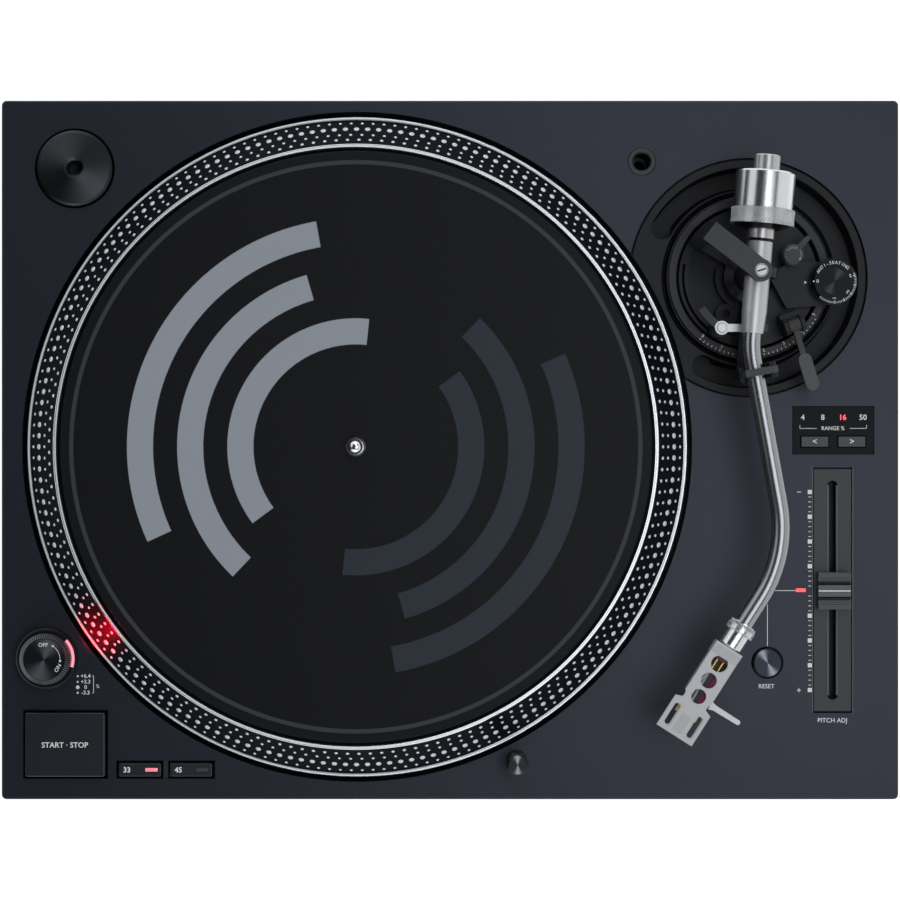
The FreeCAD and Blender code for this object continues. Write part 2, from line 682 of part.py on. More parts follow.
def plate_openings():
    """What is cut out of the top plate."""
    over = S.plate_top + 1
    under = S.plate_top - S.plate_thick - 1
    centre = (S.platter_x, S.platter_y)
    tools = [
        rod("well_space", S.well_r, S.well_floor, over, centre),
        rod("bearing_way", S.bearing_r, S.well_floor - S.well_floor_thick - 1, over, centre),
        rod("arm_way", S.arm_hole_r, under + 1, over, (S.arm_x, S.arm_y)),
        rod("adaptor_way", S.adaptor_recess_r, S.adaptor_recess_floor, over, (S.adaptor_x, S.adaptor_y)),
        rod("holder_way", S.holder_r, under, over, (S.holder_x, S.holder_y)),
        rod("light_way", S.light_hole_r, S.chassis_bottom, over, (S.light_x, S.light_y)),
        rod("strobe_way", S.strobe_neck_r, under, over, (S.power_x, S.power_y)),
        rod("reset_way", S.reset_hole_r, S.reset_floor, over, (S.reset_x, S.reset_y)),
        rod("reset_stem_way", S.stem_r + S.running_gap, S.reset_floor - 3, over, (S.reset_x, S.reset_y)),
        box("lamp_way", S.lamp_width, S.lamp_depth, under, over, (S.lamp_x, S.lamp_y)),
        box("start_way", S.start_opening_width, S.start_opening_depth, under, over, (S.start_x, S.start_y)),
        box("speed_way", S.speed_opening_width, S.speed_opening_depth, under, over, (S.speed_x, S.speed_y)),
        box("range_way", S.range_width, S.range_depth, under, over, (S.range_x, S.range_y)),
        box("pitch_way", S.pitch_opening_width, S.pitch_opening_depth, under, over, (S.pitch_x, S.pitch_y)),
    ]
    for side in (-1, 1):
        at = (side * S.hinge_x, S.plinth_depth / 2)
        tools.append(box(f"hinge_way_{side + 1}", S.hinge_width, 2 * S.wall_thick + 4, S.hinge_low, S.hinge_high, at))
    return tools


def make_top_plate():
    height_inside = S.plate_top - S.plate_thick
    outer = slab(
        "plate_outer", S.plinth_width, S.plinth_depth, S.chassis_bottom, S.plate_top,
        corner=S.plinth_corner, bevel=S.plate_edge,
    )
    hollow = box(
        "plate_hollow", S.plinth_width - 2 * S.wall_thick, S.plinth_depth - 2 * S.wall_thick,
        S.chassis_bottom, height_inside,
    )
    shell = cut("plate_shell", outer, [hollow])
    cup = rod(
        "well_cup", S.well_r + S.well_wall, S.well_floor - S.well_floor_thick, height_inside + 1,
        (S.platter_x, S.platter_y),
    )
    adaptor_boss = rod(
        "adaptor_boss", S.adaptor_recess_r + S.well_wall, S.adaptor_recess_floor - 2, height_inside + 1,
        (S.adaptor_x, S.adaptor_y),
    )
    reset_boss = rod(
        "reset_boss", S.reset_hole_r + S.well_wall, S.reset_floor - 2, height_inside + 1, (S.reset_x, S.reset_y)
    )
    casting = joined("plate_casting", [shell, cup, adaptor_boss, reset_boss])
    return sub_part("top_plate", cut("top_plate", casting, plate_openings()))


def rear_recess(name, middle, width):
    """The walls and the hollow of a recess in the rear of the base."""
    rear = S.plinth_depth / 2 - S.base_inset
    wall = S.recess_wall
    depth = S.recess_depth + wall
    walls = box(
        name + "_walls", width + 2 * wall, depth, S.base_bottom, S.recess_high + wall, (middle, rear - depth / 2)
    )
    hollow = box(
        name + "_hollow", width, 2 * S.recess_depth, S.recess_low, S.recess_high, (middle, rear)
    )
    return walls, hollow


def make_base_shell():
    width = S.plinth_width - 2 * S.base_inset
    depth = S.plinth_depth - 2 * S.base_inset
    outer = slab("base_outer", width, depth, S.base_bottom, S.chassis_bottom, corner=S.plinth_corner)
    lip_width = S.plinth_width - 2 * S.wall_thick - 0.6
    lip_depth = S.plinth_depth - 2 * S.wall_thick - 0.6
    lip = box("base_lip", lip_width, lip_depth, S.base_bottom + S.base_thick, S.chassis_bottom + S.lip_height)
    hollow = box(
        "base_hollow", lip_width - 2 * S.lip_thick, lip_depth - 2 * S.lip_thick,
        S.base_bottom + S.base_thick, S.chassis_bottom + S.lip_height + 1,
    )
    tub = cut("base_tub", joined("base_block", [outer, lip]), [hollow])
    pieces = [tub]
    tools = []
    recesses = (("terminal", S.terminal_x, S.terminal_width), ("inlet", S.inlet_x, S.inlet_recess_width))
    for name, middle, recess_width in recesses:
        walls, space = rear_recess(name, middle, recess_width)
        pieces.append(walls)
        tools.append(space)
    for name, (side, end) in FOOT_CORNERS.items():
        at = (side * S.foot_x, end * S.foot_y)
        pieces.append(rod(name + "_boss", S.boss_r, S.base_bottom, S.boss_top, at))
        tools.append(rod(name + "_bore", S.stud_r + S.running_gap, S.base_bottom - 1, S.stud_top + 1, at))
    for index, at in enumerate(SCREW_PLACES):
        pieces.append(rod(f"screw_post_{index}", 4, S.base_bottom, 48, at))
        tools.append(rod(f"screw_bore_{index}", 1.6, S.base_bottom - 1, 46, at))
    return sub_part("base_shell", cut("base_shell", joined("base_casting", pieces), tools))


def make_base_screws():
    screws = []
    for index, at in enumerate(SCREW_PLACES):
        profile = [(0, 28.2), (3.2, 28.2), (3.8, 28.8), (3.8, 30), (1.6, 30), (1.6, 45), (0, 45)]
        screws.append(turned(f"screw_{index}", profile, at))
    return sub_part("base_screws", group("base_screws", screws))


def make_feet():
    for name, (side, end) in FOOT_CORNERS.items():
        shoulder = S.foot_height - 7
        profile = [
            (0, 0), (S.foot_r - 7, 0), (S.foot_r - 6, 1.2), (S.foot_r - 5, 4), (S.foot_r, 5),
            (S.foot_r, shoulder), (S.foot_r - 1.5, shoulder + 2), (S.foot_r - 12, S.foot_height),
            (S.stud_r, S.foot_height), (S.stud_r, S.stud_top), (0, S.stud_top),
        ]
        sub_part(name, turned(name, profile, (side * S.foot_x, end * S.foot_y)))


# Platter and drive


def make_platter():
    under = S.deck_top - S.deck_thick
    skirt = S.platter_r - S.platter_skirt
    profile = [
        (S.shaft_r, S.deck_top), (S.rim_inner_r, S.deck_top), (S.rim_inner_r, S.rim_top),
        (S.rim_outer_r, S.rim_top), (S.bead_inner_r, S.slope_foot), (S.bead_inner_r, S.bead_top),
        (S.platter_r, S.bead_top), (S.platter_r, S.platter_bottom), (skirt, S.platter_bottom),
        (skirt, under - 8), (skirt - 6, under), (S.hub_r, under), (S.hub_r - 3, S.hub_bottom),
        (S.shaft_r, S.hub_bottom),
    ]
    return sub_part("platter", turned("platter", profile, (S.platter_x, S.platter_y)))


def make_spindle():
    profile = [
        (0, S.shaft_bottom), (S.shaft_r - 1, S.shaft_bottom), (S.shaft_r, S.shaft_bottom + 1),
        (S.shaft_r, S.deck_top), (S.shoulder_foot_r, S.deck_top), (S.shoulder_r, S.shoulder_top),
        (S.spindle_r, S.shoulder_top), (S.spindle_r, S.spindle_top), (0, S.spindle_top),
    ]
    body = turned("spindle", profile, (S.platter_x, S.platter_y))
    dress(body, "Fillet", S.spindle_r - 0.3, at_height(S.spindle_top))
    return sub_part("spindle", body)


def ring(name, inner, outer, low, high, at):
    """A plain ring turned about an upright axis."""
    return turned(name, [(inner, low), (outer, low), (outer, high), (inner, high)], at)


def make_platter_layers():
    centre = (S.platter_x, S.platter_y)
    under = S.deck_top - S.deck_thick
    damping = ring("platter_damping", S.damping_inner_r, S.damping_outer_r, under - S.damping_thick, under, centre)
    sub_part("platter_damping", damping)
    magnet = ring("rotor_magnet", S.magnet_inner_r, S.magnet_outer_r, under - S.magnet_height, under, centre)
    sub_part("rotor_magnet", magnet)


def make_slipmat():
    low = S.deck_top + S.mat_gap
    profile = [
        (S.mat_hole_r, low), (S.mat_r, low), (S.mat_r, S.mat_top - 0.5), (S.mat_r - 0.5, S.mat_top),
        (S.mat_hole_r, S.mat_top),
    ]
    return sub_part("slipmat", turned("slipmat", profile, (S.platter_x, S.platter_y)))


def make_motor():
    centre = (S.platter_x, S.platter_y)
    board_top = S.well_floor + 3 + S.board_thick
    stand = ring("stator_stand", S.bearing_flange_r + 1, 34, S.well_floor, S.well_floor + 3, centre)
    board = ring("stator_board", S.bearing_flange_r + 1, S.stator_r, S.well_floor + 3, board_top, centre)
    pieces = [stand, board]
    coils = 9
    for index in range(coils):
        angle = 360 * index / coils
        at = (S.platter_x + S.coil_ring_r * cosine(angle), S.platter_y + S.coil_ring_r * sine(angle))
        pieces.append(ring(f"coil_{index}", S.coil_hole_r, S.coil_r, board_top, S.stator_top, at))
    return sub_part("motor_stator", joined("motor_stator", pieces))


def make_bearing():
    floor = S.well_floor
    bore = S.shaft_r + S.running_gap
    profile = [
        (0, S.bearing_bottom), (S.bearing_r, S.bearing_bottom), (S.bearing_r, floor),
        (S.bearing_flange_r, floor), (S.bearing_flange_r, floor + 3), (S.bearing_r - 3, floor + 3),
        (S.bearing_r - 5, S.bearing_top), (bore, S.bearing_top), (bore, S.shaft_bottom - 0.05),
        (0, S.shaft_bottom - 0.05),
    ]
    return sub_part("bearing_housing", turned("bearing_housing", profile, (S.platter_x, S.platter_y)))


# Top panel pieces


def make_record_adaptor():
    low = S.adaptor_recess_floor + 0.2
    profile = [
        (S.adaptor_bore_r, low), (S.adaptor_r - 1, low), (S.adaptor_r, low + 1), (S.adaptor_r, S.adaptor_edge - 1.2),
        (S.adaptor_r - 1.2, S.adaptor_edge), (S.adaptor_bore_r + 1.2, S.adaptor_peak),
        (S.adaptor_bore_r, S.adaptor_peak - 1.2),
    ]
    return sub_part("record_adaptor", turned("record_adaptor", profile, (S.adaptor_x, S.adaptor_y)))


def make_headshell_holder():
    top = S.plate_top + 0.3
    profile = [
        (S.holder_bore_r - 1.6, S.holder_bottom), (S.holder_r, S.holder_bottom), (S.holder_r, top - 0.3),
        (S.holder_r - 0.3, top), (S.holder_bore_r + 0.7, top), (S.holder_bore_r, top - 0.7),
        (S.holder_bore_r, S.holder_bottom + 3), (S.holder_bore_r - 1.6, S.holder_bottom + 3),
    ]
    return sub_part("headshell_holder", turned("headshell_holder", profile, (S.holder_x, S.holder_y)))


def tray(name, width, depth, at, stems_at):
    """A tray below a button opening, fixed to the plate's underside."""
    under = S.plate_top - S.plate_thick
    outer = box(name + "_outer", width + 2 * S.tray_rim, depth + 2 * S.tray_rim, S.tray_bottom, under, at)
    tools = [box(name + "_inner", width, depth, S.tray_floor, under + 1, at)]
    for index, x in enumerate(stems_at):
        way = rod(f"{name}_way_{index}", S.stem_r + S.running_gap, S.tray_bottom - 1, under, (x, at[1]))
        tools.append(way)
    return cut(name + "_cup", outer, tools)


def on_stem(name, key, at, low):
    """A button with the stem that guides it."""
    return sub_part(name, joined(name, [key, rod(name + "_stem", S.stem_r, low, low + 8, at)]))


def make_start_stop():
    at = (S.start_x, S.start_y)
    key = slab("start_key", S.start_width, S.start_depth, S.start_bottom, S.start_top, at, corner=1.2, soft=0.6)
    on_stem("start_stop_button", key, at, S.start_bottom - 7)


def make_button_trays():
    at = (S.start_x, S.start_y)
    large = tray("start_tray", S.start_opening_width, S.start_opening_depth, at, [S.start_x])
    at = (S.speed_x, S.speed_y)
    half = S.speed_spacing / 2
    stems = [S.speed_x - half, S.speed_x + half]
    cup = tray("speed_cup", S.speed_opening_width, S.speed_opening_depth, at, stems)
    divider = box(
        "speed_divider_bar", S.speed_divider, S.speed_opening_depth, S.tray_floor, S.plate_top - 0.8, at
    )
    small = joined("speed_tray", [cup, divider])
    return sub_part("button_trays", group("button_trays", [large, small]))


def make_speed_buttons():
    for name, side in (("button_33", -0.5), ("button_45", 0.5)):
        spot = (S.speed_x + side * S.speed_spacing, S.speed_y)
        key = slab(
            name + "_key", S.speed_width, S.speed_depth, S.start_bottom, S.speed_top, spot, corner=0.8, soft=0.4
        )
        on_stem(name, key, spot, S.start_bottom - 7)


def window_ring(name, inner, outer, low, high):
    """An arc of the strobe window."""
    profile = [(inner, low), (outer, low), (outer, high), (inner, high)]
    body = turned(name, profile, (S.power_x, S.power_y), S.window_angle)
    return place(body, (S.power_x, S.power_y, 0), S.window_start)


def make_power_switch():
    at = (S.power_x, S.power_y)
    top = S.strobe_top
    neck = S.plate_top - S.plate_thick - 6
    bore = S.power_shaft_r + S.running_gap
    profile = [
        (bore, neck), (S.strobe_neck_r, neck), (S.strobe_neck_r, S.plate_top), (S.strobe_r, S.plate_top),
        (S.strobe_r, top - 0.8), (S.strobe_r - 0.8, top), (S.power_r - 0.6, top), (S.power_r - 0.6, top - 1.2),
        (bore, top - 1.2),
    ]
    housing = turned("strobe_drum", profile, at)
    way = window_ring("strobe_window_way", S.window_inner_r, S.window_outer_r, S.window_bottom, top + 1)
    sub_part("strobe_housing", cut("strobe_housing", housing, [way]))
    window = window_ring("strobe_window", S.window_inner_r, S.window_outer_r, S.window_bottom, top + 0.1)
    sub_part("strobe_window", window)
    low = S.power_bottom
    knob = [
        (0, neck + 2), (S.power_shaft_r, neck + 2), (S.power_shaft_r, low), (S.power_r - 0.4, low),
        (S.power_r, low + 0.4), (S.power_r, S.power_shoulder), (S.power_face_r, S.power_top), (0, S.power_top),
    ]
    sub_part("power_knob", turned("power_knob", knob, at))


def make_target_light():
    at = (S.light_x, S.light_y)
    top = S.light_top
    column = turned(
        "light_column",
        [(0, S.light_bottom), (S.light_r, S.light_bottom), (S.light_r, top - 1), (S.light_r - 1, top), (0, top)],
        at,
    )
    window = box(
        "light_window_way", S.light_window, S.light_window, top - 10, top - 10 + S.light_window,
        (S.light_x, S.light_y + S.light_r),
    )
    sub_part("target_light", cut("target_light", column, [window]))
    bore = S.light_r + S.running_gap
    low = S.light_bottom - S.light_travel - 4
    profile = [
        (0, low), (S.light_hole_r, low), (S.light_hole_r, S.plate_top - 0.4), (bore, S.plate_top - 0.4),
        (bore, low + 2), (0, low + 2),
    ]
    sub_part("light_socket", turned("light_socket", profile, at))


def make_reset_and_lamp():
    stem = S.stem_r
    profile = [
        (0, S.reset_bottom - 6), (stem, S.reset_bottom - 6), (stem, S.reset_bottom), (S.reset_r, S.reset_bottom), (S.reset_r, S.reset_top - 0.7),
        (S.reset_r - 0.7, S.reset_top), (0, S.reset_top - 0.3),
    ]
    sub_part("reset_button", turned("reset_button", profile, (S.reset_x, S.reset_y)))
    low = S.plate_top - S.plate_thick - 3
    lens = box("pitch_lamp", S.lamp_width, S.lamp_depth, low, S.plate_top + 0.3, (S.lamp_x, S.lamp_y))
    sub_part("pitch_lamp", lens)


def make_pitch_fader():
    at = (S.pitch_x, S.pitch_y)
    under = S.plate_top - S.plate_thick
    plate = slab("pitch_face", S.pitch_width, S.pitch_depth, S.pitch_bottom, S.pitch_top, at, corner=1, bevel=0.4)
    flange = box("pitch_flange", S.pitch_width + 6, S.pitch_depth + 6, under - 3, under, at)
    slot = slot_tool("pitch_slot", S.slot_width, S.slot_length, S.slot_floor, S.pitch_top + 1, at)
    sub_part("pitch_channel", cut("pitch_channel", joined("pitch_body", [plate, flange]), [slot]))
    half = S.fader_depth / 2
    profile = [
        (-half, S.fader_bottom), (half, S.fader_bottom), (half, S.fader_top - 0.6), (half - 1.6, S.fader_top),
        (3.2, S.fader_top - 3.2), (2.9, S.fader_top - 1.2), (-2.9, S.fader_top - 1.2),
        (-3.2, S.fader_top - 3.2), (1.6 - half, S.fader_top), (-half, S.fader_top - 0.6),
    ]
    cap = upright_plate("fader_cap", profile, S.fader_width)
    place(cap, (S.pitch_x, S.pitch_y, 0), 90)
    stem = box("fader_stem", S.stem_width, S.stem_depth, S.slot_floor + 2, S.fader_bottom + 1, at)
    sub_part("pitch_knob", joined("pitch_knob", [cap, stem]))


def make_range_panel():
    at = (S.range_x, S.range_y)
    under = S.plate_top - S.plate_thick
    face = slab(
        "range_face", S.range_width - 0.6, S.range_depth - 0.6, under - 3, S.range_top, at, corner=S.range_corner
    )
    flange = box("range_flange", S.range_width + 5, S.range_depth + 5, under - 3, under, at)
    tools = []
    for name, side in (("range_down", -0.5), ("range_up", 0.5)):
        spot = (S.range_x - 0.1 + side * S.range_key_spacing, S.range_key_y)
        way = box(
            name + "_way", S.range_key_width + 0.6, S.range_key_depth + 0.6, S.range_key_floor, S.range_top + 1, spot
        )
        tools.append(way)
        tools.append(rod(name + "_stem_way", S.stem_r + S.running_gap, under - 4, S.range_top, spot))
        key = slab(
            name + "_key", S.range_key_width, S.range_key_depth, S.range_key_bottom, S.range_key_top, spot,
            corner=0.5, soft=0.3,
        )
        on_stem(name, key, spot, S.range_key_bottom - 6)
    sub_part("range_panel", cut("range_panel", joined("range_body", [face, flange]), tools))


# Inside the plinth


def make_circuit_board():
    low = S.base_bottom + S.base_thick
    board_low = low + 8
    board_top = board_low + S.board_thick
    pieces = [box("main_board", 120, 84, board_low, board_top, (110, -70))]
    for index, at in enumerate(((54, -108), (166, -108), (54, -32), (166, -32))):
        pieces.append(rod(f"board_post_{index}", 3, low, board_low, at))
    chips = [((96, -62), 20, 20, 3), ((130, -88), 14, 10, 3), ((70, -90), 16, 26, 9), ((146, -50), 12, 30, 8)]
    for index, (at, width, depth, height) in enumerate(chips):
        pieces.append(box(f"board_chip_{index}", width, depth, board_top, board_top + height, at))
    for index, at in enumerate(((64, -52), (76, -44), (150, -96))):
        pieces.append(rod(f"board_capacitor_{index}", 4, board_top, board_top + 14, at))
    return sub_part("circuit_board", joined("circuit_board", pieces))


def make_power_supply():
    low = S.base_bottom + S.base_thick
    board_top = low + 6 + S.board_thick
    pieces = [
        box("supply_board", 96, 50, low + 6, board_top, (-146, 96)),
        box("supply_transformer", 30, 28, board_top, board_top + 22, (-160, 96)),
        box("supply_filter", 18, 16, board_top, board_top + 14, (-122, 84)),
        rod("supply_capacitor", 8, board_top, board_top + 26, (-122, 106)),
    ]
    for index, at in enumerate(((-190, 75), (-102, 75), (-190, 117), (-102, 117))):
        pieces.append(rod(f"supply_post_{index}", 3, low, low + 6, at))
    return sub_part("power_supply", joined("power_supply", pieces))


# Rear


def facing_rear(thing, at):
    """Lay a piece that was turned upright so that its top points to the rear."""
    return place(thing, at, -90, (1, 0, 0))


def recess_back():
    """Where the back wall of the rear recesses stands."""
    return S.plinth_depth / 2 - S.base_inset - S.recess_depth


def make_phono_jacks():
    jacks = []
    for index in range(2):
        barrel = S.jack_r
        profile = [
            (0, 0), (S.jack_collar_r, 0), (S.jack_collar_r, 2.5), (barrel, 2.5), (barrel, 2.5 + S.jack_length),
            (1.7, 2.5 + S.jack_length), (1.7, 5), (0, 5),
        ]
        jack = turned(f"jack_{index}", profile)
        jacks.append(facing_rear(jack, (S.jack_x + index * S.jack_spacing, recess_back(), S.terminal_z)))
    return sub_part("phono_jacks", group("phono_jacks", jacks))


def make_ground_terminal():
    at = (S.ground_x, recess_back(), S.terminal_z)
    post = turned(
        "ground_post",
        [(0, 0), (4.5, 0), (4.5, 2), (S.ground_post_r, 2), (S.ground_post_r, 13), (0, 13)],
    )
    sub_part("ground_post", facing_rear(post, at))
    bore = S.ground_post_r + S.running_gap
    nut = turned(
        "ground_nut",
        [(bore, 4), (S.ground_nut_r, 4), (S.ground_nut_r, 10.5), (S.ground_nut_r - 0.6, 11), (bore, 11)],
    )
    sub_part("ground_nut", facing_rear(nut, at))


def make_mains_inlet():
    back = recess_back()
    middle_y = back + S.inlet_length / 2
    half_height = S.inlet_height / 2
    body = box(
        "inlet_body", S.inlet_width + 5, S.inlet_length, S.terminal_z - half_height - 2.5,
        S.terminal_z + half_height + 2.5, (S.inlet_x, middle_y),
    )
    cavity = box(
        "inlet_cavity", S.inlet_width - 4, S.inlet_length, S.terminal_z - 4.6, S.terminal_z + 4.6,
        (S.inlet_x, middle_y + 4),
    )
    socket = cut("inlet_socket", body, [cavity])
    pieces = [socket]
    for side in (-1, 1):
        pin = turned(f"inlet_pin_{side + 1}", [(0, 3), (1.2, 3), (1.2, 13), (0, 13)])
        pieces.append(facing_rear(pin, (S.inlet_x + side * 4.3, back, S.terminal_z)))
    return sub_part("mains_inlet", joined("mains_inlet", pieces))


def make_hinge_sockets():
    sockets = []
    rear = S.plinth_depth / 2 - 0.4
    middle_z = (S.hinge_low + S.hinge_high) / 2
    for side in (-1, 1):
        x = side * S.hinge_x
        block = box(
            f"hinge_block_{side + 1}", S.hinge_width, S.hinge_depth, S.hinge_low, S.hinge_high,
            (x, rear - S.hinge_depth / 2),
        )
        slot = box(
            f"hinge_slot_{side + 1}", S.hinge_slot_width, 2 * S.hinge_slot_depth,
            middle_z - S.hinge_slot_height / 2, middle_z + S.hinge_slot_height / 2, (x, rear),
        )
        sockets.append(cut(f"hinge_socket_{side + 1}", block, [slot]))
    return sub_part("hinge_sockets", group("hinge_sockets", sockets))


# Tonearm base


def make_arm_housing_pan():
    at = (S.arm_x, S.arm_y)
    top = S.plate_top
    flange = top - S.plate_thick
    pan = turned(
        "housing_pan",
        [
            (0, S.housing_bottom), (S.housing_r, S.housing_bottom), (S.housing_r, flange - 3),
            (S.housing_r + 3, flange - 3), (S.housing_r + 3, flange), (S.housing_r, flange),
            (S.housing_r, top - 0.4), (S.housing_r - 0.4, top), (S.cove_inner_r - 0.6, top), (S.housing_bore_r, top - 1.8),
            (S.housing_bore_r, S.housing_floor), (0, S.housing_floor),
        ],
        at,
    )
    cove = turned(
        "housing_cove",
        [
            (S.cove_inner_r, top - 1.6), (S.cove_inner_r + 0.8, S.cove_floor + 1.2),
            (S.cove_inner_r + 2, S.cove_floor), (S.cove_outer_r - 1.2, S.cove_floor),
            (S.cove_outer_r, S.cove_floor + 1.2),
            (S.cove_outer_r, top + 1), (S.cove_inner_r, top + 1),
        ],
        at, S.cove_angle,
    )
    place(cove, (S.arm_x, S.arm_y, 0), S.cove_start)
    tools = [cove]
    middle = (S.cove_inner_r + S.cove_outer_r) / 2
    half = (S.cove_outer_r - S.cove_inner_r) / 2
    for name, angle in (("first", S.cove_start), ("last", S.cove_start + S.cove_angle)):
        spot = (S.arm_x + middle * cosine(angle), S.arm_y + middle * sine(angle))
        tools.append(rod(f"cove_{name}_end", half, S.cove_floor, top + 1, spot))
    centre = (S.platter_x, S.platter_y)
    tools.append(rod("pan_well_side", S.well_r + S.well_wall + 0.2, S.housing_bottom - 1, top - S.plate_thick, centre))
    tools.append(rod("pan_well_edge", S.well_r, top - S.plate_thick - 1, top + 1, centre))
    return sub_part("tonearm_housing", cut("tonearm_housing", pan, tools))


def make_height_ring():
    top = S.ring_top
    profile = [
        (S.ring_inner_r, S.ring_bottom), (S.ring_outer_r, S.ring_bottom), (S.ring_outer_r, top - 1.2),
        (S.ring_outer_r - 0.8, top), (S.ring_inner_r + 0.6, top), (S.ring_inner_r, top - 0.6),
    ]
    return sub_part("height_ring", turned("height_ring", profile, (S.arm_x, S.arm_y)))


def arm_base_disc():
    """The disc that rises and falls, with its sunken side and its tower."""
    at = (S.arm_x, S.arm_y)
    top = S.arm_base_top
    disc = turned(
        "base_disc",
        [(0, S.arm_base_bottom), (S.arm_base_r, S.arm_base_bottom), (S.arm_base_r, top - 0.6),
         (S.arm_base_r - 0.6, top), (0, top)],
        at,
    )
    pocket = turned(
        "base_pocket", [(12, S.pocket_floor), (30, S.pocket_floor), (30.6, top + 1), (12, top + 1)], at, 112
    )
    place(pocket, (S.arm_x, S.arm_y, 0), 150)
    slot = turned("base_slot", [(32.2, 94), (33.6, 94), (33.6, top + 1), (32.2, top + 1)], at, 66)
    place(slot, (S.arm_x, S.arm_y, 0), 168)
    sunk = cut("base_sunk", disc, [pocket, slot])
    boss_at = (S.arm_x - 11.2, S.arm_y - 18.2)
    boss = ring("base_boss", 2.2, 5.2, S.pocket_floor - 1, top - 1, boss_at)
    inner_wall = turned("base_inner_wall", [(15, 95), (16.6, 95), (16.6, top), (15, top)], at, 80)
    place(inner_wall, (S.arm_x, S.arm_y, 0), 165)
    tower_foot = turned("base_tower", [
        (0, top - 1), (12.5, top - 1), (12.5, top + 2), (S.tower_r, top + 5), (S.tower_r, S.tower_top - 6),
        (4, S.tower_top), (0, S.tower_top),
    ], at)
    return [sunk, boss, inner_wall, tower_foot]


def across_tube(thing, base_height=0):
    """Carry a piece that was drawn across the arm tube to the arm rest."""
    turn = S.arm_turn + S.first_bend_angle
    x = S.arm_x + S.rest_x * cosine(S.arm_turn) - S.rest_y * sine(S.arm_turn)
    y = S.arm_y + S.rest_x * sine(S.arm_turn) + S.rest_y * cosine(S.arm_turn)
    return place(thing, (x, y, base_height), turn + 90)


def arm_rest():
    """The post and saddle that carry the arm tube at rest, with ears for the clamp."""
    half = S.rest_half
    hinge_y, hinge_z = S.clamp_pivot_y, S.clamp_pivot_z
    saddle = upright_plate(
        "rest_saddle",
        [
            (-3.6, S.bracket_low), (4.2, S.bracket_low), (4.2, S.rest_top - 12), (hinge_y + 2, S.rest_top - 6),
            (hinge_y + 2, hinge_z - 3.4), (S.tube_r + 0.9, hinge_z - 3.4), (S.tube_r + 0.6, S.rest_top + 1.5),
            (S.tube_r - 1.2, S.rest_top), (0.9 - half, S.rest_top), (0.4 - half, S.rest_top - 1.4),
            (-half, S.rest_top - 5), (-3.6, S.rest_top - 12),
        ],
        7.6,
    )
    across_tube(saddle)
    ears = []
    for name, side in (("front", -1), ("rear", 1)):
        ear = upright_plate(
            f"rest_ear_{name}",
            [(hinge_y - 2, hinge_z - 4), (hinge_y + 2, hinge_z - 4), (hinge_y + 2, hinge_z + 1.2),
             (hinge_y + 1.2, hinge_z + 2), (hinge_y - 1.2, hinge_z + 2), (hinge_y - 2, hinge_z + 1.2)],
            1.6,
        )
        turn = S.arm_turn + S.first_bend_angle
        along = S.clamp_half + 1.1
        x = S.arm_x + S.rest_x * cosine(S.arm_turn) - S.rest_y * sine(S.arm_turn) + side * along * cosine(turn)
        y = S.arm_y + S.rest_x * sine(S.arm_turn) + S.rest_y * cosine(S.arm_turn) + side * along * sine(turn)
        ears.append(place(ear, (x, y, 0), turn + 90))
    pin_way = across_tube(lying_rod("rest_pin_way", S.pin_r + S.running_gap, 12, hinge_y, hinge_z))
    beam = box("rest_beam", 26, 9, S.bracket_low, S.bracket_top, (0, 0))
    beam_middle = S.rest_x - 9
    x = S.arm_x + beam_middle * cosine(S.arm_turn) - 1.6 * sine(S.arm_turn)
    y = S.arm_y + beam_middle * sine(S.arm_turn) + 1.6 * cosine(S.arm_turn)
    place(beam, (x - 13 * cosine(S.arm_turn) + 4.5 * sine(S.arm_turn),
                 y - 13 * sine(S.arm_turn) - 4.5 * cosine(S.arm_turn), S.bracket_low), S.arm_turn)
    pier = turned("rest_pier", [(29, 102), (34.8, 102), (34.8, 107.2), (29, 107.2)], (S.arm_x, S.arm_y), 16)
    place(pier, (S.arm_x, S.arm_y, 0), S.arm_turn - 8)
    return cut("rest_frame", joined("rest_solid", [saddle, beam, pier] + ears), [pin_way])


def lying_rod(name, radius, length, across, height):
    """A rod that lies along the arm tube, drawn in the frame of pieces across the tube."""
    body = new_body(name)
    sketch = sketch_on(body, "XZ_Plane")
    circle(sketch, radius, (across, height))
    pad(body, sketch, length, both_ways=True)
    return body


def skate_bracket():
    """The arm that carries the anti-skating dial over the height ring."""
    low, top = S.bracket_low, S.bracket_top
    outline_points = [(10, -1), (18.2, -16), (38.5, -14.4), (38.5, 7), (21.5, 7.6), (14.5, 4)]
    beam = cut_from_sheet("skate_beam", outline_points, low, top, (S.arm_x, S.arm_y))
    nose = rod("skate_nose", 9.4, low, top, (S.skate_x, S.skate_y))
    pier = turned("skate_pier", [(24, 102), (34.8, 102), (34.8, 107.2), (24, 107.2)], (S.arm_x, S.arm_y), 34)
    place(pier, (S.arm_x, S.arm_y, 0), -24)
    way = rod("skate_way", 3 + S.running_gap, low - 1, top + 1, (S.skate_x, S.skate_y))
    return cut("skate_frame", joined("skate_solid", [beam, nose, pier]), [way])


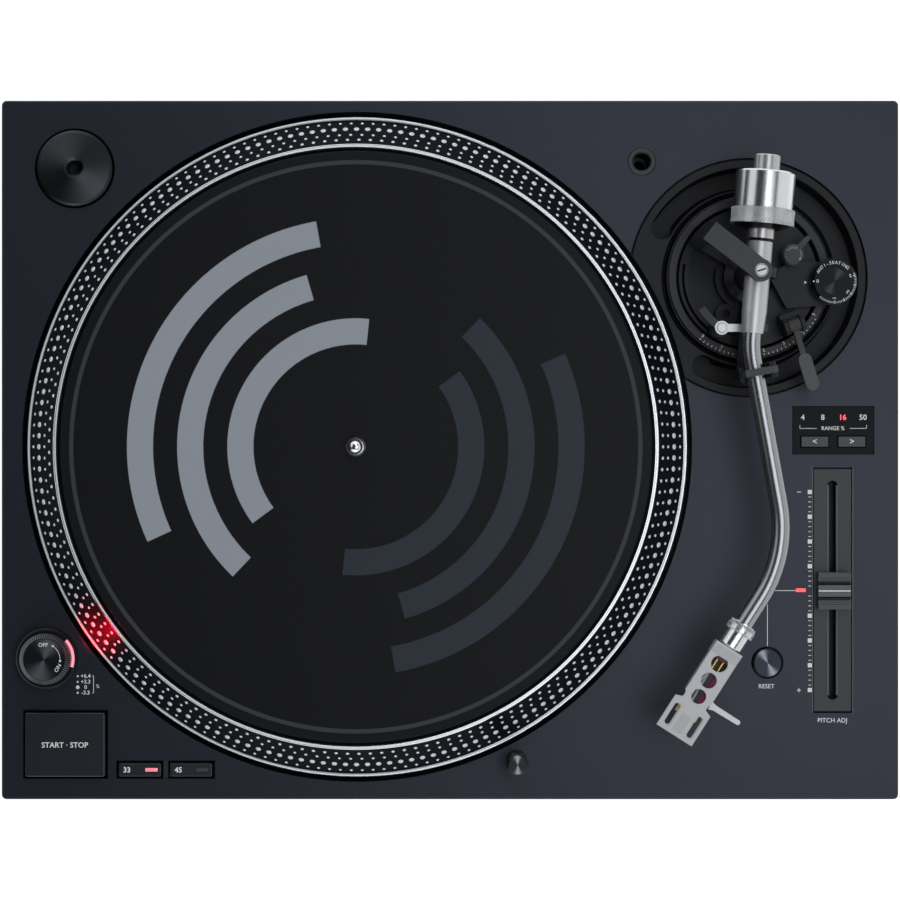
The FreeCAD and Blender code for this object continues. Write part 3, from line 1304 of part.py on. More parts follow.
def cue_frame():
    """The block and ears that carry the cue lever."""
    block = upright_plate("cue_block", [(-6.5, 107), (4, 107), (4, 117), (-6.5, 117)], 10.4)
    pieces = [block]
    for side in (-1, 1):
        ear = upright_plate(f"cue_ear_{side + 1}", [(-4, 116), (4, 116), (4, 124), (2, 126), (-2, 126), (-4, 124)], 2)
        offset = 4.2 * side
        place(ear, (-offset * sine(S.cue_turn) + S.cue_x, offset * cosine(S.cue_turn) + S.cue_y, 0), S.cue_turn)
        pieces.append(ear)
    place(block, (S.cue_x, S.cue_y, 0), S.cue_turn)
    pier = rod("cue_pier", 4.4, 102, 108, (S.arm_x + 19, S.arm_y - 22))
    pin_way = lying_rod("cue_pin_way", S.pin_r + 0.3 + S.running_gap, 14, 0, S.cue_z)
    place(pin_way, (S.cue_x, S.cue_y, 0), S.cue_turn)
    return cut("cue_stand", joined("cue_solid", pieces + [pier]), [pin_way])


def make_arm_base():
    top = S.arm_base_top
    lift_boss = rod("lift_boss", 4.4, S.pocket_floor - 1, 122, (S.lift_x, S.lift_y))
    lock_post = rod("lock_post", 4.4, top - 1, S.lock_bottom - 0.4, (S.lock_x, S.lock_y))
    pieces = arm_base_disc() + [arm_rest(), skate_bracket(), cue_frame(), lift_boss, lock_post]
    tools = [
        rod("lift_way", S.lift_rod_r + S.running_gap, S.arm_base_bottom + 2, 123, (S.lift_x, S.lift_y)),
        rod("lock_way", 2 + S.running_gap, top - 8, S.lock_top, (S.lock_x, S.lock_y)),
        rod("tower_way", S.pin_r + S.running_gap, S.tower_top - 2.2, S.tower_top + 1, (S.arm_x, S.arm_y)),
    ]
    return sub_part("arm_base", cut("arm_base", joined("arm_base_solid", pieces), tools))


def make_bridge():
    top, under = S.bridge_top, S.bridge_under
    far, foot = S.bridge_far, S.arm_base_top
    arch = upright_plate(
        "bridge_arch",
        [
            (0, under), (0, top), (far - 3, top), (far - 0.2, top - 14), (far - 0.2, foot), (far - 6.5, foot),
            (far - 6.5, under - 6), (far - 10.5, under),
        ],
        S.bridge_width,
    )
    place(arch, (S.arm_x, S.arm_y, 0), S.bridge_turn)
    crown = rod("bridge_crown", S.bridge_width / 2 + 0.4, under, top, (S.arm_x, S.arm_y))
    way = rod("bridge_way", 2, under - 1, top + 1, (S.arm_x, S.arm_y))
    bridge = cut("bridge", joined("bridge_solid", [arch, crown]), [way])
    screw = turned(
        "pivot_screw",
        [
            (S.pin_r + S.running_gap, under + 0.1), (2, under + 0.1), (2, top), (S.screw_r, top),
            (S.screw_r, S.screw_top - 0.4), (S.screw_r - 0.4, S.screw_top), (0, S.screw_top), (0, under + 2.6),
            (S.pin_r + S.running_gap, under + 2.6),
        ],
        (S.arm_x, S.arm_y),
    )
    return sub_part("gimbal_bridge", group("gimbal_bridge", [bridge, screw]))


def make_clamp():
    y, z = S.clamp_pivot_y, S.clamp_pivot_z
    under, top = S.clamp_under, S.clamp_top
    half = S.rest_half
    band = upright_plate(
        "clamp_band",
        [
            (y - 1.6, z - 1.6), (y + 1.6, z - 1.6), (y + 1.9, top - 2.5), (y - 0.6, top), (2 - half, top),
            (0.2 - half, top - 1.8), (-half, z + 2.2), (1.6 - half, z + 2.2), (1.9 - half, under), (y - 2.4, under),
            (y - 1.6, under - 1),
        ],
        2 * S.clamp_half,
    )
    pin = lying_rod("clamp_pin", S.pin_r, 7.2, y, z)
    return sub_part("arm_clamp", across_tube(joined("arm_clamp", [band, pin])))


def make_skate_dial():
    at = (S.skate_x, S.skate_y)
    profile = [
        (0, S.bracket_low + 1), (3, S.bracket_low + 1), (3, S.skate_bottom), (S.skate_r, S.skate_bottom),
        (S.skate_r, S.skate_top - 1.6), (S.skate_r - 1.6, S.skate_top), (0, S.skate_top),
    ]
    return sub_part("anti_skate_dial", turned("anti_skate_dial", profile, at))


def make_height_lock():
    at = (S.lock_x, S.lock_y)
    knob = turned(
        "lock_knob",
        [(0, 97), (2, 97), (2, S.lock_bottom), (S.lock_r, S.lock_bottom), (S.lock_r, S.lock_top - 0.8),
         (S.lock_r - 0.8, S.lock_top), (0, S.lock_top)],
        at,
    )
    lever = cut_from_sheet(
        "lock_lever", [(3, -1.7), (12.5, -1.2), (13.4, 0), (12.5, 1.2), (3, 1.7)],
        S.lock_bottom, S.lock_bottom + 2.6, at, 48,
    )
    return sub_part("height_lock", joined("height_lock", [knob, lever]))


def make_cue_lever():
    half = S.cue_width / 2
    end = S.cue_length - half
    start = S.cue_length - S.cue_paddle + half
    hub = lying_rod("cue_hub", S.cue_hub_r, 5.6, 0, S.cue_z)
    pin = lying_rod("cue_pin", S.pin_r + 0.3, 10.4, 0, S.cue_z)
    stalk = upright_plate(
        "cue_stalk",
        [(0, S.cue_z - 1.6), (start + 2, S.cue_z - 2.2), (start + 2, S.cue_z + 0.8), (0, S.cue_z + 1.6)],
        2.8,
    )
    low, high = S.cue_z - 2.6, S.cue_z + 1.2
    paddle = box("cue_paddle_plate", end - start, S.cue_width, low, high, ((start + end) / 2, 0))
    heel = rod("cue_heel", half, low, high, (start, 0))
    tip = rod("cue_tip", half, low, high, (end, 0))
    lever = joined("cue_lever", [hub, pin, stalk, paddle, heel, tip])
    return sub_part("cue_lever", place(lever, (S.cue_x, S.cue_y, 0), S.cue_turn))


def make_arm_lift():
    at = (S.lift_x, S.lift_y)
    width = S.lift_bar_end - S.lift_x
    stem = rod("lift_rod", S.lift_rod_r, S.lift_rod_bottom, S.lift_bar_bottom + 1, at)
    bar = box(
        "lift_bar", width, S.lift_bar_width, S.lift_bar_bottom, S.lift_bar_top,
        (S.lift_x + width / 2, S.lift_y),
    )
    low, high = S.lift_bar_bottom, S.lift_bar_top
    inner, outer = S.lift_reach - S.lift_bar_width / 2, S.lift_reach + S.lift_bar_width / 2
    arc = turned(
        "lift_arc", [(inner, low), (outer, low), (outer, high), (inner, high)], (S.arm_x, S.arm_y), S.lift_arc_angle
    )
    place(arc, (S.arm_x, S.arm_y, 0), S.lift_arc_start)
    head = rod("lift_head", 3.4, low, high + 0.6, at)
    screw = rod("lift_screw", 2.2, high, high + 1.2, at)
    return sub_part("arm_lift", joined("arm_lift", [stem, bar, arc, head, screw]))


# Tonearm


def make_yoke():
    inner, outer, half = S.yoke_inner_r, S.yoke_outer_r, S.yoke_half
    hoop = turned_along("yoke_hoop", [(-half, inner), (half, inner), (half, outer), (-half, outer)])
    ways = [
        side_pin("yoke_way_left", S.yoke_inner_r - 1, S.yoke_outer_r + 1, S.pin_r + S.running_gap),
        side_pin("yoke_way_right", -1 - S.yoke_outer_r, 1 - S.yoke_inner_r, S.pin_r + S.running_gap),
    ]
    holed = cut("yoke_holed", hoop, ways)
    upper = rod("yoke_upper_pin", S.pin_r, outer - 0.6, S.bridge_under - S.arm_height + 2.4)
    lower = rod("yoke_lower_pin", S.pin_r, S.tower_top - S.arm_height - 2, 0.6 - outer)
    yoke = joined("gimbal_yoke", [holed, upper, lower])
    sub_part("gimbal_yoke", on_arm(yoke))


def side_pin(name, start, end, radius):
    """A pin across the arm, from one distance to another."""
    body = new_body(name)
    sketch = sketch_on(body, "XZ_Plane")
    circle(sketch, radius)
    pad(body, sketch, as_size(end) - start)
    return place(body, (0, end, 0))


def make_pivot_housing():
    housing = turned_along(
        "housing_tube",
        [
            (S.pivot_rear, 2), (S.pivot_rear, S.pivot_r - 0.3), (S.pivot_rear + 0.3, S.pivot_r),
            (S.pivot_joint, S.pivot_r), (S.pivot_front, S.pivot_front_r), (S.pivot_front, S.tube_r),
            (S.tube_start, S.tube_r), (S.tube_start, 2),
        ],
    )
    pins = [
        side_pin("pivot_pin_left", S.pivot_r - 1, S.yoke_outer_r - 0.6, S.pin_r),
        side_pin("pivot_pin_right", 0.6 - S.yoke_outer_r, 1 - S.pivot_r, S.pin_r),
    ]
    return sub_part("pivot_housing", on_arm(joined("pivot_housing", [housing] + pins)))


def tube_path():
    """The arm tube's centre line: straight, bend, straight, bend, straight."""
    first, second = S.first_bend_angle.number, S.second_bend_angle.number
    start = Vector(S.tube_start.number, 0, 0)
    corner_a = Vector(S.first_bend_x.number, 0, 0)
    slope = math.radians(first)
    run = (S.second_bend_x.number - S.first_bend_x.number) / math.cos(slope)
    corner_b = corner_a + Vector(run * math.cos(slope), run * math.sin(slope), 0)
    last = math.radians(first + second)
    end = corner_b + Vector(math.cos(last), math.sin(last), 0) * S.tube_last_run.number
    radii = [S.first_bend_r.number, S.second_bend_r.number]
    return rounded_path([start, corner_a, corner_b, end], radii)


def rounded_path(points, radii=None):
    """Straight runs through points, joined by tangent arcs; arcs are as large as their runs allow."""
    edges = []
    here = points[0]
    for index in range(1, len(points) - 1):
        before = points[index - 1] - points[index]
        after = points[index + 1] - points[index]
        turn = math.pi - before.getAngle(after)
        reach = 0.45 * min(before.Length, after.Length)
        radius = radii[index - 1] if radii else reach / math.tan(turn / 2)
        reach = radius * math.tan(turn / 2)
        before.normalize()
        after.normalize()
        begin = points[index] + before * reach
        finish = points[index] + after * reach
        towards = before + after
        towards.normalize()
        middle = points[index] + towards * (radius / math.cos(turn / 2) - radius)
        edges.append(Part.LineSegment(here, begin).toShape())
        edges.append(Part.Arc(begin, middle, finish).toShape())
        print(f"bend radius {radius:.1f} mm")
        here = finish
    edges.append(Part.LineSegment(here, points[-1]).toShape())
    return Part.Wire(edges)


def swept(path, radius):
    """A round rod of one radius along a path."""
    edge = path.Edges[0]
    tangent = edge.tangentAt(edge.FirstParameter)
    profile = Part.Wire(Part.makeCircle(radius, edge.Vertexes[0].Point, tangent))
    solid = path.makePipeShell([profile], True, False)
    expected = math.pi * radius * radius * path.Length
    print(f"sweep of {path.Length:.1f} mm holds {solid.Volume / expected:.4f} of its section times its length")
    return solid


def make_arm_tube():
    path = tube_path()
    tube = doc.addObject("Part::Feature", "arm_tube")
    tube.Shape = swept(path, S.tube_r.number).cut(swept(path, S.tube_bore_r.number))
    return sub_part("arm_tube", on_arm(tube))


def make_rear_shaft():
    shaft = turned_along(
        "rear_shaft",
        [
            (S.shaft_rear, S.rear_shaft_bore_r), (S.shaft_rear, S.rear_shaft_r - 0.5),
            (S.shaft_rear + 0.5, S.rear_shaft_r), (S.shaft_front, S.rear_shaft_r), (S.shaft_front, 5.2),
            (S.pivot_rear, 5.2), (S.pivot_rear, S.rear_shaft_bore_r),
        ],
    )
    return sub_part("rear_shaft", on_arm(shaft))


def make_counterweight():
    gap = S.running_gap
    bore = S.rear_shaft_r + gap
    sleeve = turned_along(
        "weight_sleeve", [(-46.8, bore), (-26, bore), (-26, S.sleeve_r), (-46.8, S.sleeve_r)]
    )
    sub_part("weight_sleeve", on_arm(sleeve))
    inner = S.sleeve_r + gap
    weight = turned_along(
        "counterweight",
        [
            (S.weight_rear, bore + 0.25), (S.weight_rear, S.weight_r - 0.8), (S.weight_rear + 0.8, S.weight_r),
            (S.weight_front, S.weight_r), (S.weight_front, S.weight_hub_r), (S.dial_ring_front - 1, S.weight_hub_r),
            (S.dial_ring_front - 1, inner), (-47, inner), (-47, bore + 0.25),
        ],
    )
    sub_part("counterweight", on_arm(weight))
    hub = S.weight_hub_r + gap
    dial = turned_along(
        "pressure_ring",
        [
            (S.weight_front + 0.15, hub), (S.weight_front + 0.15, S.dial_ring_r), (S.dial_ring_front, S.dial_ring_r),
            (S.dial_ring_front, S.dial_ring_r - 0.7), (S.dial_cone_front, S.dial_cone_r),
            (S.dial_cone_front, S.rear_shaft_r + 1), (S.dial_ring_front - 0.8, S.rear_shaft_r + 1),
            (S.dial_ring_front - 0.8, hub),
        ],
    )
    sub_part("pressure_ring", on_arm(dial))


# Headshell


def make_lock_collar():
    length = S.collar_length
    bore = S.tube_r + S.running_gap
    collar = turned_along(
        "lock_collar",
        [
            (0, bore), (0, S.collar_r), (2, S.collar_r), (2, S.collar_grip_r), (5, S.collar_grip_r),
            (5, S.collar_r), (length - 0.4, S.collar_r), (length, S.collar_r - 0.4), (length, bore),
        ],
    )
    return sub_part("lock_collar", on_shell(collar))


def shell_plate():
    """The headshell's plate, with its holes and slots."""
    neck, front = S.shell_neck / 2, S.shell_front / 2
    step, length = S.shell_step, S.shell_length
    top = S.shell_top
    plate = cut_from_sheet(
        "shell_plate",
        [
            (0, -neck), (step - 5, -neck), (step - 3.6, 0.8 - neck), (step - 1.4, 0.8 - neck), (step, -front),
            (length, -front), (length, front), (step, front), (step - 1.4, neck - 0.8), (step - 3.6, neck - 0.8),
            (step - 5, neck), (0, neck),
        ],
        top - S.shell_thick, top,
    )
    tools = []
    for index, (along, radius) in enumerate(HEADSHELL_HOLES):
        tools.append(rod(f"shell_hole_{index}", radius, top - S.shell_thick - 1, top + 1, (along, 0)))
    for side in (-0.5, 0.5):
        across = side * S.cartridge_spacing
        reach = (S.cartridge_slot_length - S.cartridge_slot_width) / 2
        radius = S.cartridge_slot_width / 2
        at = S.cartridge_slot_x
        for depth, extra in ((S.shell_thick + 1, 0), (0.8, 1)):
            tag = f"{int(side * 2 + 1)}_{extra}"
            low = top - depth
            tools.append(box(f"shell_slot_{tag}", 2 * reach, 2 * radius + extra, low, top + 1, (at, across)))
            for end in (-1, 1):
                spot = (at + end * reach, across)
                tools.append(rod(f"shell_slot_{tag}_{end + 1}", radius + extra / 2, low, top + 1, spot))
    return cut("shell_holed", plate, tools)


def make_headshell():
    neck = S.shell_neck / 2
    top = S.shell_top
    ribs = []
    for side in (-1, 1):
        ribs.append(
            box(f"shell_rib_{side + 1}", S.shell_step - 5, 1.4, top - 6, top - 0.5,
                ((S.shell_step - 5) / 2, side * (neck - 0.7)))
        )
    block = upright_plate(
        "shell_block", [(0, -5.2), (S.shell_block, -5.2), (S.shell_block, top), (1.2, top + 1.2), (0, top + 1.2)],
        S.shell_neck,
    )
    plug = turned_along(
        "shell_plug",
        [(-S.plug_length, 0), (-S.plug_length, S.plug_r - 0.4), (0.4 - S.plug_length, S.plug_r), (1, S.plug_r), (1, 0)],
    )
    shell = joined("headshell", [shell_plate(), block, plug] + ribs)
    return sub_part("headshell", on_shell(shell, S.collar_length + S.shell_gap))


def make_finger_lift():
    neck = S.shell_neck / 2
    at, reach = S.lift_tab_x, S.lift_tab_reach
    top = S.shell_top
    lift = cut_from_sheet(
        "finger_lift",
        [
            (at - 1.9, neck), (at - 1.3, neck + 2.5), (at - 1.2, reach - 0.8), (at - 0.5, reach),
            (at + 0.5, reach), (at + 1.2, reach - 0.8), (at + 1.5, neck + 2.5), (at + 2.3, neck),
        ],
        top - 2, top - 0.6,
    )
    return sub_part("finger_lift", on_shell(lift, S.collar_length + S.shell_gap))


def make_headshell_pins():
    pins = []
    for index, (across, height) in enumerate(((-1.7, -0.5), (1.7, -0.5), (-1.7, -3.4), (1.7, -3.4))):
        pin = turned_along(f"pin_{index}", [(S.shell_block, 0), (S.shell_block, 0.5), (13.2, 0.5), (13.2, 0)])
        pins.append(place(pin, (0, across, height)))
    return sub_part("headshell_pins", on_shell(group("headshell_pins", pins), S.collar_length + S.shell_gap))


def make_lead_wires():
    wires = doc.addObject("Part::Feature", "lead_wires")
    solids = []
    for points in LEAD_WIRES:
        path = rounded_path([Vector(*point) for point in points])
        solids.append(swept(path, S.wire_r.number))
    wires.Shape = Part.makeCompound(solids)
    return sub_part("lead_wires", on_shell(wires, S.collar_length + S.shell_gap))


def check_and_write():
    """Stop at anything that failed, then write each sub-part to its own file."""
    doc.recompute()
    for thing in doc.Objects:
        if "Invalid" in thing.State or "Error" in thing.State:
            raise SystemExit(f"{thing.Name} failed: {thing.State}")
    labels = [thing.Label for thing in PARTS]
    if len(set(labels)) != len(labels):
        raise SystemExit("two sub-parts share a label")
    os.makedirs("parts", exist_ok=True)
    for thing in PARTS:
        shape = thing.Shape
        if shape.isNull() or not shape.isValid() or not shape.Solids:
            raise SystemExit(f"{thing.Label} has no sound shape")
        shape.exportStep(f"parts/{thing.Label}.step")
        box_now = shape.BoundBox
        print(f"{thing.Label}: {len(shape.Solids)} solids, {box_now.ZMin:.1f} to {box_now.ZMax:.1f} high")


make_top_plate()
make_base_shell()
make_base_screws()
make_feet()
make_platter()
make_spindle()
make_platter_layers()
make_slipmat()
make_motor()
make_bearing()
make_record_adaptor()
make_headshell_holder()
make_button_trays()
make_start_stop()
make_speed_buttons()
make_power_switch()
make_target_light()
make_reset_and_lamp()
make_pitch_fader()
make_range_panel()
make_circuit_board()
make_power_supply()
make_phono_jacks()
make_ground_terminal()
make_mains_inlet()
make_hinge_sockets()
make_arm_housing_pan()
make_height_ring()
make_arm_base()
make_bridge()
make_clamp()
make_skate_dial()
make_height_lock()
make_cue_lever()
make_arm_lift()
make_yoke()
make_pivot_housing()
make_arm_tube()
make_rear_shaft()
make_counterweight()
make_lock_collar()
make_headshell()
make_finger_lift()
make_headshell_pins()
make_lead_wires()
check_and_write()
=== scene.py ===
"""The looks of a direct-drive record turntable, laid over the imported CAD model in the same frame."""

import math

import bpy
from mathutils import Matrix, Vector

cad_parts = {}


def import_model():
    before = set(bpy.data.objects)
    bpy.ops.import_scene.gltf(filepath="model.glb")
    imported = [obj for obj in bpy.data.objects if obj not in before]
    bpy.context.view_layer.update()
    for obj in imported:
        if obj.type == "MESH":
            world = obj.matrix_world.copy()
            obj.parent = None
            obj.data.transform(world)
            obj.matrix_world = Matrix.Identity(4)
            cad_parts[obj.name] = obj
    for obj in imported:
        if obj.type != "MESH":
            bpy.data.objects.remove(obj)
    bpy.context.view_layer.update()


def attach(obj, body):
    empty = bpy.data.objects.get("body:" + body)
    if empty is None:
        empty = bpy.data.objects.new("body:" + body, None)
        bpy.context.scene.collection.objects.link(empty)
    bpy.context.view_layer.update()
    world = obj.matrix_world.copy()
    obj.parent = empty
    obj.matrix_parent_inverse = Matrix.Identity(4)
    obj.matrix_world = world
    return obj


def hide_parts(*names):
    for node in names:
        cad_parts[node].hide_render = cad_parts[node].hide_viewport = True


bl_info = {
    "name": "Record turntable",
    "version": (1, 0, 0),
    "blender": (4, 5, 0),
    "location": "View3D > Sidebar > Turntable",
    "description": "Dresses a record turntable: strobe dots, slipmat, prints, knurls, lamps and stage",
    "category": "Object",
}

MM = 0.001
WELD = 0.000002
SMOOTH_UP_TO = math.radians(35)

# Where things are in the row frame, in millimetres.
PLATTER = (-46.9, 1.6)
PIVOT = (150.5, 87.0)
ADAPTOR = (-189.5, 142.2)
HOLDER = (96.9, 145.6)
POWER = (-202.8, -104.7)
LIGHT = (33.7, -156.8)
CUE = (171.2, 62.2)
LIFT = (134.2, 60.3)
RESET = (160.2, -107.4)
PITCH = (193.25, -70.8)
SKATE = (191.4, 84.0)
LOCK = (171.0, 97.2)
ARM_HEIGHT = 143.0

# Heights at which prints lie, a hair above the faces that carry them.
PLATE_TOP = 102.0
PLATE_INK = PLATE_TOP + 0.02
PANEL_INK = 101.82
RANGE_KEY_TOP = 102.72
SPEED_KEY_INK = 103.42
START_INK = 104.82
HEIGHT_RING_INK = 106.02
FADER_INK = 109.02
POWER_INK = 116.62
DIAL_INK = 120.52
INK = 0.05
THICK_INK = 0.06

# The strobe slope: its upper edge's radius and height, and how far it runs and drops.
SLOPE_RADIUS = 150.7
SLOPE_TOP = 119.5
SLOPE_RUN = 13.9
SLOPE_DROP = 14.3

# The arm's own axis in its rest, and the headshell's own axis, by the tube's two bends.
REST_ANGLE = -95
FIRST_BEND = 15.2
SECOND_BEND = -42.7
TUBE_END = (171.9, 8.4)
COLLAR_REACH = 13.8
ARM_TURN = math.radians(REST_ANGLE)
SHELL_TURN = math.radians(REST_ANGLE + FIRST_BEND + SECOND_BEND)
ARM_X = Vector((math.cos(ARM_TURN), math.sin(ARM_TURN), 0))
ARM_Y = Vector((-math.sin(ARM_TURN), math.cos(ARM_TURN), 0))
SHELL_X = Vector((math.cos(SHELL_TURN), math.sin(SHELL_TURN), 0))
SHELL_Y = Vector((-math.sin(SHELL_TURN), math.cos(SHELL_TURN), 0))
CUE_TURN = math.radians(-73)
CUE_X = Vector((math.cos(CUE_TURN), math.sin(CUE_TURN), 0))
COLLAR_START = Vector((*PIVOT, ARM_HEIGHT)) + TUBE_END[0] * ARM_X + TUBE_END[1] * ARM_Y
SHELL_START = COLLAR_START + COLLAR_REACH * SHELL_X


# Node graphs


class Graph:
    """A node tree with short ways to add to it."""

    def __init__(self, tree):
        self.tree = tree

    def node(self, kind, settings=None, **inputs):
        made = self.tree.nodes.new(kind)
        for key, value in (settings or {}).items():
            setattr(made, key, value)
        for key, value in inputs.items():
            self.feed(made, key.replace("_", " "), value)
        return made

    def feed(self, node, key, value):
        socket = node.inputs[int(key) if key.isdigit() else key]
        if isinstance(value, bpy.types.NodeSocket):
            self.tree.links.new(value, socket)
        else:
            socket.default_value = value

    def math(self, operation, first, second=0.0, clamp=False):
        made = self.tree.nodes.new("ShaderNodeMath")
        made.operation = operation
        made.use_clamp = clamp
        self.feed(made, "0", first)
        self.feed(made, "1", second)
        return made.outputs[0]

    def plus(self, first, second, clamp=False):
        return self.math("ADD", first, second, clamp)

    def minus(self, first, second):
        return self.math("SUBTRACT", first, second)

    def times(self, first, second):
        return self.math("MULTIPLY", first, second)

    def mix(self, factor, first, second):
        made = self.tree.nodes.new("ShaderNodeMix")
        made.data_type = "RGBA"
        self.feed(made, "0", factor)
        self.feed(made, "6", first)
        self.feed(made, "7", second)
        return made.outputs[2]


def rgba(colour):
    """A colour with its alpha."""
    return (*colour, 1.0)


def new_group(name, inputs, outputs):
    """An empty node group; its sockets are numbers, apart from directions and normals."""
    tree = bpy.data.node_groups.new(name, "ShaderNodeTree")
    for side, sockets in (("INPUT", inputs), ("OUTPUT", outputs)):
        for socket in sockets.split(", "):
            kind = "Vector" if socket in ("Direction", "Normal") else "Float"
            tree.interface.new_socket(socket, in_out=side, socket_type="NodeSocket" + kind)
    graph = Graph(tree)
    return tree, graph, graph.node("NodeGroupInput"), graph.node("NodeGroupOutput")


def make_round_position():
    """Distance in millimetres and angle in degrees round an upright axis."""
    tree, g, given, result = new_group("Round position", "Centre X, Centre Y", "Radius, Angle")
    place = g.node("ShaderNodeTexCoord").outputs["Object"]
    parts = g.node("ShaderNodeSeparateXYZ", Vector=place)
    x = g.minus(g.times(parts.outputs[0], 1000.0), given.outputs["Centre X"])
    y = g.minus(g.times(parts.outputs[1], 1000.0), given.outputs["Centre Y"])
    square = g.plus(g.times(x, x), g.times(y, y))
    g.feed(result, "Radius", g.math("SQRT", square))
    g.feed(result, "Angle", g.times(g.math("ARCTAN2", y, x), 180 / math.pi))
    return tree


def make_distance_along():
    """Distance in millimetres along a direction, from a starting value."""
    tree, g, given, result = new_group("Distance along", "Direction, Start", "Distance")
    place = g.node("ShaderNodeTexCoord").outputs["Object"]
    dot = g.node("ShaderNodeVectorMath", {"operation": "DOT_PRODUCT"})
    g.tree.links.new(place, dot.inputs[0])
    g.tree.links.new(given.outputs["Direction"], dot.inputs[1])
    scaled = g.times(dot.outputs["Value"], 1000.0)
    g.feed(result, "Distance", g.minus(scaled, given.outputs["Start"]))
    return tree


def make_band():
    """A soft-edged mask that is 1 between two values."""
    tree, g, given, result = new_group("Band", "Value, Low, High, Soft", "Mask")
    soft = given.outputs["Soft"]
    rise = g.math("DIVIDE", g.minus(given.outputs["Value"], given.outputs["Low"]), soft)
    fall = g.math("DIVIDE", g.minus(given.outputs["High"], given.outputs["Value"]), soft)
    rise = g.plus(rise, 0.5, clamp=True)
    fall = g.plus(fall, 0.5, clamp=True)
    g.feed(result, "Mask", g.times(rise, fall))
    return tree


def make_grain():
    """Fine unevenness of a surface: a mask for its colour, and a normal."""
    tree, g, given, result = new_group("Grain", "Scale, Depth", "Mask, Normal")
    place = g.node("ShaderNodeTexCoord").outputs["Object"]
    fine = g.node("ShaderNodeTexNoise", Vector=place, Scale=given.outputs["Scale"], Detail=3.0, Roughness=0.6)
    broad = g.node("ShaderNodeTexNoise", Vector=place, Scale=9.0, Detail=2.0, Roughness=0.5)
    both = g.plus(g.times(fine.outputs[0], 0.6), g.times(broad.outputs[0], 0.4))
    bump = g.node("ShaderNodeBump", Strength=given.outputs["Depth"], Distance=0.0003, Height=fine.outputs[0])
    g.feed(result, "Mask", both)
    g.feed(result, "Normal", bump.outputs[0])
    return tree


def make_turned_rings_and_highlight():
    """Fine rings that a lathe leaves, and a painted highlight: two bright wedges set into the colour where turned metal
    would catch the light.
    """
    tree, g, given, result = new_group("Turned rings and painted highlight", "Radius, Angle, Lead, Sharpness", "Rings, Wedge")
    cell = g.node("ShaderNodeCombineXYZ", X=given.outputs["Radius"])
    noise = g.node("ShaderNodeTexNoise", Vector=cell.outputs[0], Scale=9.0, Detail=2.0)
    g.feed(result, "Rings", noise.outputs[0])
    # Painted highlight: a streak round the lead angle, brightest there and opposite it.
    turn = g.times(g.minus(given.outputs["Angle"], given.outputs["Lead"]), math.pi / 180)
    streak = g.math("ABSOLUTE", g.math("COSINE", turn))
    g.feed(result, "Wedge", g.math("POWER", streak, given.outputs["Sharpness"]))
    return tree


GROUPS = {}


def use_group(graph, name, **inputs):
    """A shared group, placed in a graph."""
    if name not in GROUPS:
        makers = {
            "Round position": make_round_position,
            "Distance along": make_distance_along,
            "Band": make_band,
            "Grain": make_grain,
            "Turned rings and painted highlight": make_turned_rings_and_highlight,
        }
        GROUPS[name] = makers[name]()
    return graph.node("ShaderNodeGroup", {"node_tree": GROUPS[name]}, **inputs)


def band(graph, value, low, high, soft):
    """A mask that is 1 where a value lies between two others."""
    return use_group(graph, "Band", Value=value, Low=low, High=high, Soft=soft).outputs["Mask"]


def radius_and_angle(graph, centre):
    """Distance and angle round an upright axis through a centre."""
    made = use_group(graph, "Round position", Centre_X=centre[0], Centre_Y=centre[1])
    return made.outputs["Radius"], made.outputs["Angle"]


def distance_along(graph, direction, start=0.0):
    """Distance along a direction, in millimetres."""
    made = use_group(graph, "Distance along", Start=start)
    made.inputs["Direction"].default_value = tuple(direction)
    return made.outputs["Distance"]


def distance_from(graph, direction, point):
    """Distance along a direction, counted from a point."""
    return distance_along(graph, direction, direction.dot(Vector(point)))


# Materials


def principled(material):
    """A material's Principled node."""
    return material.node_tree.nodes["Principled BSDF"]


def new_material(name, roughness, metallic=0.0, coat=0.0):
    """A material with its Principled node; constants sit on that node."""
    material = bpy.data.materials.new(name)
    material.use_nodes = True
    shader = principled(material)
    shader.inputs["Roughness"].default_value = roughness
    shader.inputs["Metallic"].default_value = metallic
    shader.inputs["Coat Weight"].default_value = coat
    return material, Graph(material.node_tree), shader


def grained(name, colour, roughness, metallic=0.0, spread=0.18, scale=900.0, depth=0.1, coat=0.0):
    """A plain surface with fine unevenness."""
    material, g, shader = new_material(name, roughness, metallic, coat)
    grain = use_group(g, "Grain", Scale=scale, Depth=depth)
    dark = rgba([c * (1 - spread) for c in colour])
    light = rgba([min(1.0, c * (1 + spread)) for c in colour])
    g.feed(shader, "Base Color", g.mix(grain.outputs["Mask"], dark, light))
    g.feed(shader, "Normal", grain.outputs["Normal"])
    return material


def spun(name, centre, dark, light, roughness, lead, sharpness, limit=None):
    """Turned metal seen on its face: lathe rings, and two bright wedges of painted highlight in its colour."""
    material, g, shader = new_material(name, roughness, 0.8)
    radius, angle = radius_and_angle(g, centre)
    marks = use_group(g, "Turned rings and painted highlight", Radius=radius, Angle=angle, Lead=lead, Sharpness=sharpness)
    rings = g.times(marks.outputs["Rings"], 0.5)
    # Painted highlight: the wedges, with the rings, carry the colour from dark to light; limit stops them at a radius.
    lit = g.times(marks.outputs["Wedge"], g.plus(rings, 0.6))
    if limit is not None:
        lit = g.times(lit, band(g, radius, 0.0, limit, 0.3))
    highlight_and_rings = g.plus(lit, g.times(rings, 0.12), clamp=True)
    g.feed(shader, "Base Color", g.mix(highlight_and_rings, rgba(dark), rgba(light)))
    bump = g.node("ShaderNodeBump", Strength=0.25, Distance=0.00005, Height=marks.outputs["Rings"])
    g.feed(shader, "Normal", bump.outputs[0])
    return material


